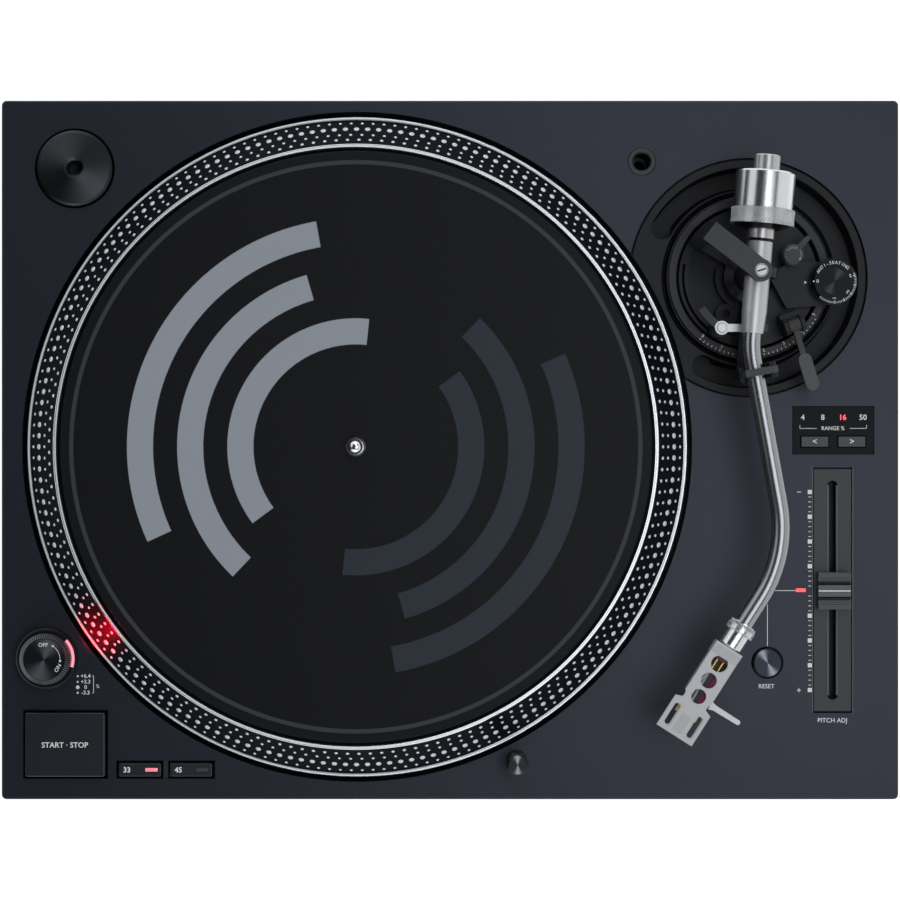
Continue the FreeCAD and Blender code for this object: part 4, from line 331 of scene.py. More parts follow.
def lit(name, colour, strength):
    """A lamp's lens: glowing, with fine unevenness."""
    material, g, shader = new_material(name, 0.3)
    grain = use_group(g, "Grain", Scale=1500.0, Depth=0.05)
    shade = g.mix(grain.outputs["Mask"], rgba([c * 0.8 for c in colour]), rgba(colour))
    g.feed(shader, "Base Color", shade)
    g.feed(shader, "Emission Color", shade)
    g.feed(shader, "Emission Strength", strength)
    return material


def two_tone(name, first, second, mask_of, roughness, metallic=0.0):
    """Two colours parted by a mask, each with fine unevenness."""
    material, g, shader = new_material(name, roughness, metallic)
    grain = use_group(g, "Grain", Scale=900.0, Depth=0.08)
    mask = mask_of(g)
    colour = g.mix(mask, rgba(first), rgba(second))
    darker = g.mix(mask, rgba([c * 0.75 for c in first]), rgba([c * 0.75 for c in second]))
    g.feed(shader, "Base Color", g.mix(grain.outputs["Mask"], darker, colour))
    g.feed(shader, "Normal", grain.outputs["Normal"])
    return material


def platter_material():
    """Polished rings, a black strobe slope between them, and a turned deck."""
    material, g, shader = new_material("platter metal", 0.24, 1.0)
    radius, angle = radius_and_angle(g, PLATTER)
    height = distance_along(g, (0, 0, 1))
    slope = g.times(band(g, radius, 151.0, 164.5, 0.08), band(g, height, 104.0, 119.4, 0.05))
    lip = band(g, radius, 146.0, 149.35, 0.05)
    dark = g.math("MAXIMUM", slope, lip)
    marks = use_group(g, "Turned rings and painted highlight", Radius=radius, Angle=angle, Lead=100.0, Sharpness=3.0)
    bright = g.mix(marks.outputs["Rings"], rgba((0.50, 0.51, 0.53)), rgba((0.78, 0.79, 0.81)))
    black = g.mix(marks.outputs["Rings"], rgba((0.004, 0.005, 0.008)), rgba((0.008, 0.0105, 0.016)))
    g.feed(shader, "Base Color", g.mix(dark, bright, black))
    g.feed(shader, "Roughness", g.plus(g.times(dark, 0.14), 0.22))
    g.feed(shader, "Metallic", g.minus(1.0, dark))
    g.feed(shader, "Specular IOR Level", g.minus(0.5, g.times(dark, 0.47)))
    bump = g.node("ShaderNodeBump", Strength=0.12, Distance=0.00004, Height=marks.outputs["Rings"])
    g.feed(shader, "Normal", bump.outputs[0])
    return material


def slipmat_material():
    """Near-black felt with a thin printed ring and plain broken rings in two greys."""
    material, g, shader = new_material("slipmat felt", 0.5)
    radius, angle = radius_and_angle(g, PLATTER)
    place = g.node("ShaderNodeTexCoord").outputs["Object"]
    fibre = g.node("ShaderNodeTexNoise", Vector=place, Scale=1400.0, Detail=4.0, Roughness=0.75)
    cloud = g.node("ShaderNodeTexNoise", Vector=place, Scale=70.0, Detail=3.0, Roughness=0.6)
    felt = g.mix(fibre.outputs[0], rgba((0.0016, 0.0018, 0.0026)), rgba((0.0055, 0.0060, 0.0084)))
    felt = g.mix(g.times(cloud.outputs[0], 0.5), felt, rgba((0.0038, 0.0042, 0.0056)))
    ragged = g.plus(radius, g.times(g.minus(fibre.outputs[0], 0.5), 0.5))
    thin = band(g, ragged, 140.7, 142.8, 0.25)
    felt = g.mix(g.times(thin, 0.9), felt, rgba((0.050, 0.055, 0.065)))
    # Broken rings: lighter ones to the left, darker ones to the right.
    for low, high, lead, spread, colour in RING_PRINTS:
        ring = band(g, ragged, low, high, 0.3)
        away = g.minus(angle, lead)
        wrapped = g.minus(g.math("WRAP", g.plus(away, 180.0), 360.0), 180.0)
        sector = band(g, g.math("ABSOLUTE", wrapped), -1.0, spread, 0.25)
        worn = g.plus(g.times(fibre.outputs[0], 0.35), 0.72, clamp=True)
        felt = g.mix(g.times(g.times(ring, sector), worn), felt, rgba(colour))
    g.feed(shader, "Base Color", felt)
    g.feed(shader, "Sheen Weight", 0.04)
    g.feed(shader, "Specular IOR Level", 0.14)
    bump = g.node("ShaderNodeBump", Strength=0.3, Distance=0.0001, Height=fibre.outputs[0])
    g.feed(shader, "Normal", bump.outputs[0])
    return material


# The slipmat's broken rings: inner and outer radius, middle angle, half spread, and colour.
LIGHT_PRINT = (0.40, 0.425, 0.465)
DARK_PRINT = (0.036, 0.044, 0.055)
RING_PRINTS = [
    (101.0, 114.0, 152.0, 52.0, LIGHT_PRINT),
    (76.0, 89.0, 166.0, 60.0, LIGHT_PRINT),
    (51.0, 64.0, 150.0, 66.0, LIGHT_PRINT),
    (101.0, 114.0, -28.0, 52.0, DARK_PRINT),
    (76.0, 89.0, -14.0, 60.0, DARK_PRINT),
    (51.0, 64.0, -30.0, 66.0, DARK_PRINT),
]


# Modelling helpers


def only(obj):
    """Make one object the selected and active one."""
    bpy.ops.object.select_all(action="DESELECT")
    obj.select_set(True)
    bpy.context.view_layer.objects.active = obj


def active():
    """The object that the last operator made."""
    return bpy.context.active_object


def settle(name):
    """Name the active object and put its origin at the frame's."""
    obj = active()
    bpy.ops.object.transform_apply(location=True, rotation=True, scale=True)
    obj.name = name.replace(" ", "_")
    return obj


def metres(at):
    """Millimetres as the metres that Blender takes."""
    return tuple(value * MM for value in at)


def block(name, size, at, turn=0.0):
    """A box of one size about a point, in millimetres, turned about the upright axis in degrees."""
    bpy.ops.mesh.primitive_cube_add(size=1, location=metres(at), rotation=(0, 0, math.radians(turn)))
    active().scale = metres(size)
    return settle(name)


def disc(name, radius, thickness, at, sides=48):
    """A round plate whose middle is at a point, in millimetres."""
    bpy.ops.mesh.primitive_cylinder_add(vertices=sides, radius=radius * MM, depth=thickness * MM, location=metres(at))
    return settle(name)


def hoop(name, radius, thickness, at, sides=256):
    """A ring of round section, lying flat."""
    bpy.ops.mesh.primitive_torus_add(
        major_radius=radius * MM, minor_radius=thickness * MM, major_segments=sides, minor_segments=10,
        location=metres(at),
    )
    return settle(name)


def along_direction(direction):
    """The rotation that turns the upright axis to a direction."""
    return Vector(direction).to_track_quat("Z", "Y").to_euler()


def rod(name, radius, start, end, sides=20):
    """A round bar from one point to another, in millimetres."""
    start, end = Vector(start), Vector(end)
    middle = (start + end) / 2
    bpy.ops.mesh.primitive_cylinder_add(
        vertices=sides, radius=radius * MM, depth=(end - start).length * MM, location=metres(middle),
        rotation=along_direction(end - start),
    )
    return settle(name)


def lettering(name, words, height, at, turn=0.0, bold=0.0):
    """Printed words, centred on a point; height is that of a capital letter, in millimetres."""
    capital_share = 0.72
    thickness = 0.04
    bpy.ops.object.text_add()
    obj = active()
    obj.data.body = words
    obj.data.size = height / capital_share * MM
    obj.data.align_x = "CENTER"
    obj.data.align_y = "CENTER"
    obj.data.resolution_u = 3
    obj.data.offset = bold * MM
    obj.data.extrude = thickness * MM / 2
    bpy.ops.object.convert(target="MESH")
    obj = active()
    obj.location = metres(at)
    obj.rotation_euler = (0, 0, math.radians(turn))
    return settle(name)


def join(name, objects):
    """Several meshes as one."""
    bpy.ops.object.select_all(action="DESELECT")
    for obj in objects:
        obj.select_set(True)
    bpy.context.view_layer.objects.active = objects[0]
    if len(objects) > 1:
        bpy.ops.object.join()
    objects[0].name = name.replace(" ", "_")
    return objects[0]


def repeat_round(obj, count, centre, axis=(0, 0, 1)):
    """Copy a mesh round an axis in edit mode, and weld the last copy to the first."""
    only(obj)
    bpy.ops.object.mode_set(mode="EDIT")
    bpy.ops.mesh.select_all(action="SELECT")
    bpy.ops.mesh.spin(steps=count, dupli=True, angle=math.radians(360.0), center=metres(centre), axis=tuple(axis))
    bpy.ops.mesh.select_all(action="SELECT")
    bpy.ops.mesh.remove_doubles(threshold=WELD)
    bpy.ops.object.mode_set(mode="OBJECT")
    return obj


def round_edges(obj, width, segments=2):
    """Bevel all sharp edges of a mesh, then leave it applied."""
    only(obj)
    bevel = obj.modifiers.new("soft edges", "BEVEL")
    bevel.width = width * MM
    bevel.segments = segments
    bevel.limit_method = "ANGLE"
    bpy.ops.object.modifier_apply(modifier=bevel.name)
    return obj


def wear(obj, material, body, smooth=False):
    """Give a piece its material and the body it moves with."""
    obj.data.materials.clear()
    obj.data.materials.append(material)
    if smooth:
        only(obj)
        bpy.ops.object.shade_smooth_by_angle(angle=SMOOTH_UP_TO)
    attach(obj, body)
    return obj


def round_about(centre, radius, degrees, height):
    """A point on a circle, in millimetres."""
    turn = math.radians(degrees)
    return (centre[0] + radius * math.cos(turn), centre[1] + radius * math.sin(turn), height)


def ring_of_marks(name, centre, radius, height, degrees, length, width):
    """Short radial ticks at several angles."""
    ticks = []
    for index, angle in enumerate(degrees):
        at = round_about(centre, radius, angle, height)
        ticks.append(block(f"{name} {index}", (length, width, THICK_INK), at, angle))
    return join(name, ticks)


def arc_line(name, centre, radius, height, first, last, width, steps=24):
    """A thin printed arc."""
    overlap = 1.04
    pieces = []
    step = (last - first) / steps
    length = 2 * math.pi * radius * abs(step) / 360 * overlap
    for index in range(steps):
        angle = first + step * (index + 0.5)
        pieces.append(block(f"{name} {index}", (width, length, INK), round_about(centre, radius, angle, height), angle))
    return join(name, pieces)


def arrow_head(name, at, turn, size):
    """A small printed triangle that points along its turn, in degrees."""
    bpy.ops.mesh.primitive_cylinder_add(
        vertices=3, radius=size * MM, depth=INK * MM, location=metres(at), rotation=(0, 0, math.radians(turn - 90))
    )
    return settle(name)


def round_lettering(name, words, height, centre, radius, level, first, step):
    """Letters along an arc, with their feet to its middle."""
    letters = []
    for index, letter in enumerate(words):
        angle = first + step * index
        at = round_about(centre, radius, angle, level)
        letters.append(lettering(f"{name} {index}", letter, height, at, angle - 90))
    return join(name, letters)


def ribs_round(name, count, centre, radius, height, size, body):
    """A straight knurl on a body: one small bar repeated round an upright axis."""
    rib = block(name, size, (centre[0] + radius, centre[1], height))
    wear(repeat_round(rib, count, (*centre, 0)), ink("knurl"), body)


def cross_knurl(name, centre, axis, side, radius, half, thickness, count):
    """A diamond knurl: bars leaning both ways, repeated round an axis."""
    top = Vector(centre) + Vector((0, 0, radius))
    bars = []
    for lean in (-1, 1):
        reach = half[0] * Vector(axis) + lean * half[1] * Vector(side)
        bar = rod(f"{name} {lean}", thickness, top - reach, top + reach, 5)
        bars.append(repeat_round(bar, count, centre, axis))
    return join(name, bars)


# Finishes of the CAD nodes


def by_height(low, high):
    """A mask for what lies between two heights."""
    return lambda g: band(g, distance_along(g, (0, 0, 1)), low, high, 0.02)


def red_jack_mask(g):
    """A mask for the collar of the second phono socket."""
    deep = band(g, distance_along(g, (0, 1, 0)), 140.0, 152.52, 0.02)
    return g.times(deep, band(g, distance_along(g, (1, 0, 0)), 119.0, 140.0, 0.02))


def lift_bar_mask(g):
    """A mask for the arm lift's bright head and bar."""
    head = band(g, radius_and_angle(g, LIFT)[0], -1.0, 3.6, 0.05)
    wide = band(g, distance_along(g, (0, 1, 0)), LIFT[1] - 2.2, LIFT[1] + 2.2, 0.05)
    long = band(g, distance_along(g, (1, 0, 0)), LIFT[0], 149.0, 0.05)
    return g.math("MAXIMUM", head, g.times(wide, long))


def strobe_window_material():
    """The red lamp behind its curved window, with dark rims."""
    material, g, shader = new_material("strobe window", 0.25)
    bright = band(g, radius_and_angle(g, POWER)[0], 13.0, 14.4, 0.25)
    grain = use_group(g, "Grain", Scale=1200.0, Depth=0.05)
    glow = g.mix(grain.outputs["Mask"], rgba((0.95, 0.26, 0.32)), rgba((1.0, 0.36, 0.42)))
    colour = g.mix(bright, rgba((0.02, 0.004, 0.006)), glow)
    g.feed(shader, "Base Color", colour)
    g.feed(shader, "Emission Color", colour)
    g.feed(shader, "Emission Strength", 0.85)
    return material


def make_finishes():
    """Materials of the CAD nodes, by node name."""
    plate = grained("plate paint", (0.0085, 0.0105, 0.0175), 0.42, 0.2, 0.10, 2600.0, 0.12)
    principled(plate).inputs["Specular Tint"].default_value = (0.84, 0.88, 1.0, 1)
    rubber = grained("moulded rubber", (0.010, 0.011, 0.0135), 0.7, 0.0, 0.25, 700.0, 0.25)
    plastic = grained("black plastic", (0.0095, 0.011, 0.0150), 0.45, 0.0, 0.2, 1500.0, 0.12)
    satin = grained("satin black", (0.0045, 0.0053, 0.0075), 0.38, 0.1, 0.15, 1500.0, 0.08)
    key = grained("key plastic", (0.0165, 0.0185, 0.0245), 0.34, 0.1, 0.12, 2400.0, 0.06, coat=0.2)
    gloss = grained("gloss panel", (0.006, 0.0065, 0.009), 0.45, 0.0, 0.2, 700.0, 0.0)
    housing = grained("housing", (0.0075, 0.0082, 0.0100), 0.45, 0.1, 0.12, 1800.0, 0.08)
    for material, sheen in ((gloss, 0.10), (satin, 0.22), (housing, 0.22)):
        principled(material).inputs["Specular IOR Level"].default_value = sheen
    silver = grained("satin silver", (0.50, 0.51, 0.52), 0.42, 0.75, 0.06, 2200.0, 0.06)
    tube = grained("polished tube", (0.29, 0.30, 0.315), 0.27, 1.0, 0.06, 900.0, 0.03)
    weight = grained("counterweight metal", (0.62, 0.63, 0.64), 0.22, 1.0, 0.06, 600.0, 0.06)
    steel = grained("polished steel", (0.66, 0.66, 0.68), 0.18, 1.0, 0.06, 900.0, 0.02)
    gold = grained("gold plate", (0.80, 0.56, 0.22), 0.25, 1.0)
    board = two_tone("circuit board", (0.02, 0.10, 0.055), (0.03, 0.03, 0.033), by_height(43.7, 90.0), 0.45)
    shared = [
        (rubber, "base_shell platter_damping foot_front_left foot_front_right foot_rear_left foot_rear_right"),
        (satin, "strobe_housing arm_base gimbal_yoke"),
        (key, "start_stop_button button_33 button_45 pitch_knob"),
        (gloss, "range_panel range_down range_up"),
        (weight, "counterweight lock_collar"),
        (steel, "spindle ground_post"),
        (gold, "headshell_pins ground_nut"),
        (board, "circuit_board power_supply"),
    ]
    pivot = (*PIVOT, 0)
    return {
        **{node: material for material, nodes in shared for node in nodes.split()},
        "top_plate": plate,
        "tonearm_housing": housing,
        "height_ring": grained("height ring", (0.014, 0.0145, 0.016), 0.42, 0.5, 0.12, 1500.0, 0.08),
        "strobe_window": strobe_window_material(),
        "pitch_lamp": lit("pitch lamp", (1.0, 0.06, 0.07), 1.4),
        "platter": platter_material(),
        "motor_stator": two_tone(
            "copper coils", (0.02, 0.10, 0.055), (0.58, 0.25, 0.10), by_height(86.7, 99.0), 0.4, 0.6
        ),
        "bearing_housing": grained("bearing brass", (0.60, 0.44, 0.20), 0.3, 1.0),
        "rotor_magnet": grained("magnet", (0.04, 0.04, 0.042), 0.6, 0.3),
        # The turned faces below carry painted highlights: dark and light colour, roughness, the highlight's lead angle,
        # its sharpness, and for some the radius it ends at.
        "record_adaptor": spun("adaptor", ADAPTOR, (0.009, 0.010, 0.012), (0.085, 0.09, 0.10), 0.36, 122.0, 3.0),
        "reset_button": spun("reset face", RESET, (0.008, 0.011, 0.020), (0.20, 0.22, 0.25), 0.32, 118.0, 18.0, 7.0),
        "anti_skate_dial": spun(
            "dial face", SKATE, (0.0035, 0.0040, 0.0055), (0.035, 0.038, 0.043), 0.42, 60.0, 14.0, 6.5
        ),
        "power_knob": spun("power face", POWER, (0.016, 0.0175, 0.023), (0.27, 0.285, 0.32), 0.3, 72.0, 5.0, 10.2),
        "target_light": spun("light cap", LIGHT, (0.006, 0.0065, 0.008), (0.30, 0.32, 0.35), 0.3, 92.0, 16.0, 4.6),
        "gimbal_bridge": two_tone(
            "bridge", (0.0105, 0.012, 0.016), (0.62, 0.62, 0.62), by_height(158.05, 160.0), 0.35, 0.3
        ),
        "arm_lift": two_tone("arm lift", (0.0105, 0.012, 0.015), (0.58, 0.59, 0.60), lift_bar_mask, 0.34, 0.5),
        "pivot_housing": silver,
        "arm_tube": tube,
        "rear_shaft": two_tone(
            "rear shaft", (0.52, 0.52, 0.52), (0.01, 0.01, 0.011),
            lambda g: band(g, distance_from(g, ARM_X, pivot), -16.4, 0.0, 0.02), 0.3, 0.8,
        ),
        "pressure_ring": two_tone(
            "pressure ring", (0.010, 0.011, 0.0135), (0.56, 0.57, 0.58),
            lambda g: band(g, distance_from(g, ARM_X, pivot), -32.0, -23.0, 0.02), 0.3, 0.85,
        ),
        "headshell": grained("headshell silver", (0.50, 0.50, 0.51), 0.5, 0.25, 0.07, 2600.0, 0.10),
        "finger_lift": grained("finger lift", (0.47, 0.48, 0.49), 0.42, 0.6, 0.08, 1800.0, 0.08),
        "lead_wires": two_tone(
            "lead wires", (0.42, 0.018, 0.065), (0.60, 0.62, 0.62),
            lambda g: band(g, distance_from(g, SHELL_Y, SHELL_START), -30.0, -0.2, 0.05), 0.5,
        ),
        "phono_jacks": two_tone("phono sockets", (0.72, 0.50, 0.20), (0.35, 0.02, 0.02), red_jack_mask, 0.3, 0.7),
        "base_screws": grained("zinc screws", (0.30, 0.30, 0.31), 0.35, 1.0),
        "cue_lever": two_tone(
            "cue lever", (0.012, 0.012, 0.013), (0.060, 0.064, 0.072),
            lambda g: band(g, distance_from(g, CUE_X, (*CUE, 0)), 14.9, 60.0, 0.05), 0.5,
        ),
    }, plastic


# Printed and inlaid marks: each material's name, colour, roughness, metal share, spread, scale and depth.
INKS = {
    "white": ("white print", (0.95, 0.95, 0.95), 0.6, 0.0, 0.06, 3000.0, 0.02),
    "grey": ("grey print", (0.45, 0.46, 0.48), 0.6, 0.0, 0.08, 3000.0, 0.02),
    "dim": ("dim print", (0.075, 0.08, 0.085), 0.5, 0.0, 0.10, 3000.0, 0.02),
    "dark lamp": ("unlit key lamp", (0.030, 0.034, 0.044), 0.6, 0.0, 0.2, 1500.0, 0.05),
    "key face": ("key face", (0.016, 0.0175, 0.022), 0.4, 0.0, 0.15, 1500.0, 0.05),
    "black": ("deep black", (0.004, 0.004, 0.0045), 0.55, 0.0, 0.3, 900.0, 0.05),
    "knurl": ("dark knurl", (0.115, 0.12, 0.135), 0.38, 0.5, 0.15, 2000.0, 0.05),
    "silver knurl": ("silver knurl", (0.42, 0.43, 0.44), 0.34, 0.6, 0.10, 2000.0, 0.05),
    "groove": ("groove line", (0.075, 0.078, 0.085), 0.35, 0.4, 0.12, 2000.0, 0.05),
}
# Lit marks: each material's name, colour and strength.
LIT_INKS = {
    "red": ("red figure", (1.0, 0.08, 0.10), 1.6),
    "lamp": ("red key lamp", (1.0, 0.16, 0.20), 1.3),
}
MADE_INKS = {}


def ink(kind):
    """The material of a kind of mark, made once."""
    if kind not in MADE_INKS:
        MADE_INKS[kind] = lit(*LIT_INKS[kind]) if kind in LIT_INKS else grained(*INKS[kind])
    return MADE_INKS[kind]


# Operators


class TurntableSettings(bpy.types.PropertyGroup):
    """Measures of the dressing."""

    dot_rise: bpy.props.FloatProperty(
        name="Dot rise", description="How flat the strobe dots are, of a full sphere", default=0.32, min=0.1, max=1.0
    )
    lens: bpy.props.FloatProperty(
        name="Lens", description="Focal length of the camera, in millimetres", default=102.97, min=20, max=300
    )
    camera_height: bpy.props.FloatProperty(
        name="Camera height", description="Height of the camera above the floor", default=1.402, unit="LENGTH"
    )
    lamp_power: bpy.props.FloatProperty(
        name="Lamp power", description="Power of which each lamp takes its share", default=7.0, min=0
    )


class TURNTABLE_OT_finishes(bpy.types.Operator):
    """Give every CAD node its material"""

    bl_idname = "turntable.finishes"
    bl_label = "Finishes"

    def execute(self, context):
        finishes, plastic = make_finishes()
        nodes = [obj for obj in bpy.data.objects if obj.type == "MESH"]
        if not nodes:
            raise RuntimeError("the frame has no meshes")
        for obj in nodes:
            obj.data.materials.clear()
            obj.data.materials.append(finishes.get(obj.name, plastic))
        return {"FINISHED"}


class TURNTABLE_OT_strobe_dots(bpy.types.Operator):
    """Raise the four rows of dots on the platter's slope"""

    bl_idname = "turntable.strobe_dots"
    bl_label = "Strobe dots"

    def execute(self, context):
        rise = context.scene.turntable.dot_rise
        material = grained("dot metal", (0.90, 0.92, 0.94), 0.4, 0.1, 0.1, 2000.0, 0.02)
        lean = math.atan2(SLOPE_DROP, SLOPE_RUN)
        # Each row's name, number of dots, radius, and size of a dot.
        rows = [
            ("outer", 186, 162.65, 0.76),
            ("large", 180, 159.4, 1.4),
            ("middle", 174, 156.1, 0.78),
            ("inner", 169, 153.3, 0.88),
        ]
        for name, count, radius, size in rows:
            height = SLOPE_TOP - (radius - SLOPE_RADIUS) * SLOPE_DROP / SLOPE_RUN
            bpy.ops.mesh.primitive_uv_sphere_add(
                segments=10, ring_count=6, radius=size * MM,
                location=metres((PLATTER[0] + radius, PLATTER[1], height)), rotation=(0, lean, 0),
            )
            active().scale = (1, 1, rise)
            dot = settle("strobe dots " + name)
            repeat_round(dot, count, (*PLATTER, 0))
            wear(dot, material, "platter", smooth=True)
        # Near-white hoops round the platter's inner and outer edge: the polished beads, with a painted highlight line
        # where they catch the light.
        bright = grained("rim metal with painted highlight", (0.86, 0.88, 0.90), 0.36, 0.3, 0.03, 900.0, 0.0)
        inner = hoop("inner rim", 150.0, 0.72, (*PLATTER, 118.95))
        outer = hoop("outer rim", 165.2, 0.62, (*PLATTER, 105.5))
        wear(join("bright rims", [inner, outer]), bright, "platter", smooth=True)
        return {"FINISHED"}


class TURNTABLE_OT_slipmat(bpy.types.Operator):
    """Lay the felt slipmat on the platter"""

    bl_idname = "turntable.slipmat"
    bl_label = "Slipmat"

    def execute(self, context):
        radius, hole_radius, thickness, cutter_height = 147.5, 4.8, 2.7, 6
        middle = (*PLATTER, 118.6)
        mat = disc("slipmat_felt", radius, thickness, middle, 192)
        hole = disc("slipmat hole", hole_radius, cutter_height, middle)
        only(mat)
        opening = mat.modifiers.new("hole", "BOOLEAN")
        opening.object = hole
        bpy.ops.object.modifier_apply(modifier=opening.name)
        bpy.data.objects.remove(hole)
        round_edges(mat, 0.6, 3)
        wear(mat, slipmat_material(), "slipmat")
        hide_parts("slipmat")
        return {"FINISHED"}


class TURNTABLE_OT_plate_prints(bpy.types.Operator):
    """Print the pitch scale and the words on the top plate"""

    bl_idname = "turntable.plate_prints"
    bl_label = "Plate prints"

    def execute(self, context):
        level = PLATE_INK
        scale_x, scale_top, step, steps = 181.7, -21.2, 12.5, 8
        marks = []
        for index in range(steps + 1):
            y = scale_top - index * step
            if index != steps / 2:
                marks.append(block(f"scale mark {index}", (2.1, 2.1, INK), (scale_x, y, level)))
            if index < steps:
                for part in range(1, 5):
                    at = (scale_x, y - part * step / 5, level)
                    marks.append(block(f"scale tick {index} {part}", (1.5, 0.3, INK), at))
        sign_x, plus_y = 176.2, -121.3
        bracket_x, bracket_top, bracket_foot = -180.0, -114.1, -122.7
        marks.append(block("scale plus down", (0.4, 2.0, THICK_INK), (sign_x, plus_y, level)))
        # Each printed line's name, width and depth, and middle.
        lines = [
            ("scale minus", (2.0, 0.4), (sign_x, scale_top)),
            ("scale plus across", (2.0, 0.4), (sign_x, plus_y)),
            ("reset line across", (14.2, 0.3), (167.3, -71.0)),
            ("reset line down", (0.3, 28.0), (160.3, -85.0)),
            ("legend bracket", (0.25, 8.8), (bracket_x, -118.4)),
            ("legend bracket top", (0.9, 0.25), (bracket_x - 0.3, bracket_top)),
            ("legend bracket foot", (0.9, 0.25), (bracket_x - 0.3, bracket_foot)),
        ]
        marks += [block(name, (*size, INK), (*at, level)) for name, size, at in lines]
        marks.append(lettering("words pitch", "PITCH ADJ", 2.3, (193.1, -136.6, level), bold=0.015))
        marks.append(lettering("words reset", "RESET", 2.2, (159.8, -119.4, level), bold=0.015))
        marks.append(lettering("legend per cent", "%", 1.9, (-177.9, -119.4, level)))
        # The strobe's legend: four dots and their figures, with each dot's radius.
        figures = [("+6.4", -114.2, 0.5), ("+3.3", -117.1, 0.5), ("0", -119.8, 0.95), ("-3.3", -122.6, 0.5)]
        for index, (figure, y, radius) in enumerate(figures):
            marks.append(disc(f"legend dot {index}", radius, INK, (-188.0, y, level), 20))
            marks.append(lettering(f"legend figure {index}", figure, 2.0, (-184.0, y, level), bold=0.04))
        wear(join("plate prints", marks), ink("white"), "plinth")
        edges = [block(f"pitch edge {x}", (0.35, 124.0, 0.1), (x, PITCH[1], PLATE_TOP - 0.02)) for x in (183.1, 203.4)]
        wear(join("pitch edges", edges), ink("groove"), "plinth")
        return {"FINISHED"}


class TURNTABLE_OT_range_panel(bpy.types.Operator):
    """Print the range panel and face its two keys"""

    bl_idname = "turntable.range_panel"
    bl_label = "Range panel"

    def execute(self, context):
        level = PANEL_INK
        figures_y, words_y, keys_y = 16.4, 10.9, 4.2
        marks = [lettering("words range", "RANGE %", 2.0, (193.4, words_y, level), bold=0.03)]
        for figure, x in (("4", 178.2), ("8", 188.3), ("50", 208.6)):
            marks.append(lettering("figure " + figure, figure, 2.8, (x, figures_y, level), bold=0.05))
        for side, x in ((-1, 180.9), (1, 206.2)):
            marks.append(block(f"range line {side}", (8.6, 0.25, INK), (x, words_y, level)))
            marks.append(block(f"range end {side}", (0.25, 1.8, INK), (x + side * 4.2, words_y + 0.8, level)))
        wear(join("range prints", marks), ink("white"), "plinth")
        glowing = lettering("figure 16", "16", 2.8, (198.3, figures_y, level), bold=0.05)
        wear(glowing, ink("red"), "plinth")
        for node, x, sign in (("range_down", 184.15, "<"), ("range_up", 202.85, ">")):
            face = round_edges(block("face " + node, (13.4, 5.0, 0.12), (x, keys_y, RANGE_KEY_TOP - 0.02)), 0.05)
            wear(face, ink("key face"), node)
            arrow = lettering("arrow " + node, sign, 3.0, (x, keys_y, RANGE_KEY_TOP + 0.06), bold=0.04)
            wear(arrow, ink("white"), node)
        return {"FINISHED"}


class TURNTABLE_OT_keys(bpy.types.Operator):
    """Print the start, stop and speed keys and set their lamps"""

    bl_idname = "turntable.keys"
    bl_label = "Keys"

    def execute(self, context):
        words = lettering("words start stop", "START · STOP", 2.75, (-194.1, -148.8, START_INK), bold=0.05)
        wear(words, ink("white"), "start_stop_button")
        for node, figure, x, lamp_x, lamp in (
            ("button_33", "33", -163.0, -150.6, "lamp"), ("button_45", "45", -137.0, -125.0, "dark lamp")
        ):
            mark = lettering("figure " + figure, figure, 2.7, (x, -161.5, SPEED_KEY_INK), bold=0.09)
            wear(mark, ink("white"), node)
            lens = round_edges(block("lamp " + figure, (6.2, 1.7, 0.5), (lamp_x, -161.3, 103.4)), 0.2)
            wear(lens, ink(lamp), node, smooth=True)
        return {"FINISHED"}


class TURNTABLE_OT_knobs(bpy.types.Operator):
    """Rib the power knob and print it, line the fader knob, and outline the headshell holder"""

    bl_idname = "turntable.knobs"
    bl_label = "Knobs"

    def execute(self, context):
        lean = math.atan2(3.0, 2.5)
        rib = block("power ribs", (3.3, 0.5, 0.55), (0, 0, 0))
        rib.rotation_euler = (0, lean, 0)
        rib.location = metres((POWER[0] + 11.55, POWER[1], 115.1))
        repeat_round(settle("power ribs"), 64, (*POWER, 0))
        wear(rib, ink("knurl"), "power_knob")
        top, arc_radius = POWER_INK, 8.1
        words = [
            lettering("word off", "OFF", 2.0, (POWER[0] - 0.4, POWER[1] + 7.3, top), 0, bold=0.01),
            lettering("word on", "ON", 2.0, (POWER[0] + 7.0, POWER[1] - 4.2, top), 59, bold=0.01),
            arc_line("turn arc", POWER, arc_radius, top, 54, -2, 0.24),
            arrow_head("turn arrow off", round_about(POWER, arc_radius, 57, top), 147, 0.8),
            arrow_head("turn arrow on", round_about(POWER, arc_radius, -5, top), -95, 0.8),
        ]
        wear(join("power prints", words), ink("white"), "power_knob")
        line = block("fader line", (16.0, 0.55, THICK_INK), (*PITCH, FADER_INK))
        wear(line, ink("white"), "pitch_knob")
        walls = []
        grip = []
        for side in (-1, 1):
            walls.append(block(f"slot wall {side}", (0.9, 106.0, 1.0), (PITCH[0] + side * 2.25, PITCH[1], 100.9)))
            for index in range(5):
                y = PITCH[1] + side * (4.0 + index * 0.85)
                grip.append(block(f"fader rib {index} {side}", (15.4, 0.2, 0.2), (PITCH[0], y, 107.5 + index * 0.75)))
        wear(join("slot walls", walls), ink("dim"), "plinth")
        wear(join("fader ribs", grip), ink("dim"), "pitch_knob")
        lens = block("light lens", (5.6, 0.6, 5.6), (LIGHT[0], LIGHT[1] + 4.2, 114.0))
        wear(lens, grained("clear lens", (0.45, 0.47, 0.5), 0.15, coat=0.4), "target_light")
        seat = hoop("holder outline", 7.15, 0.25, (*HOLDER, 101.95), 64)
        wear(seat, ink("black"), "plinth", smooth=True)
        return {"FINISHED"}


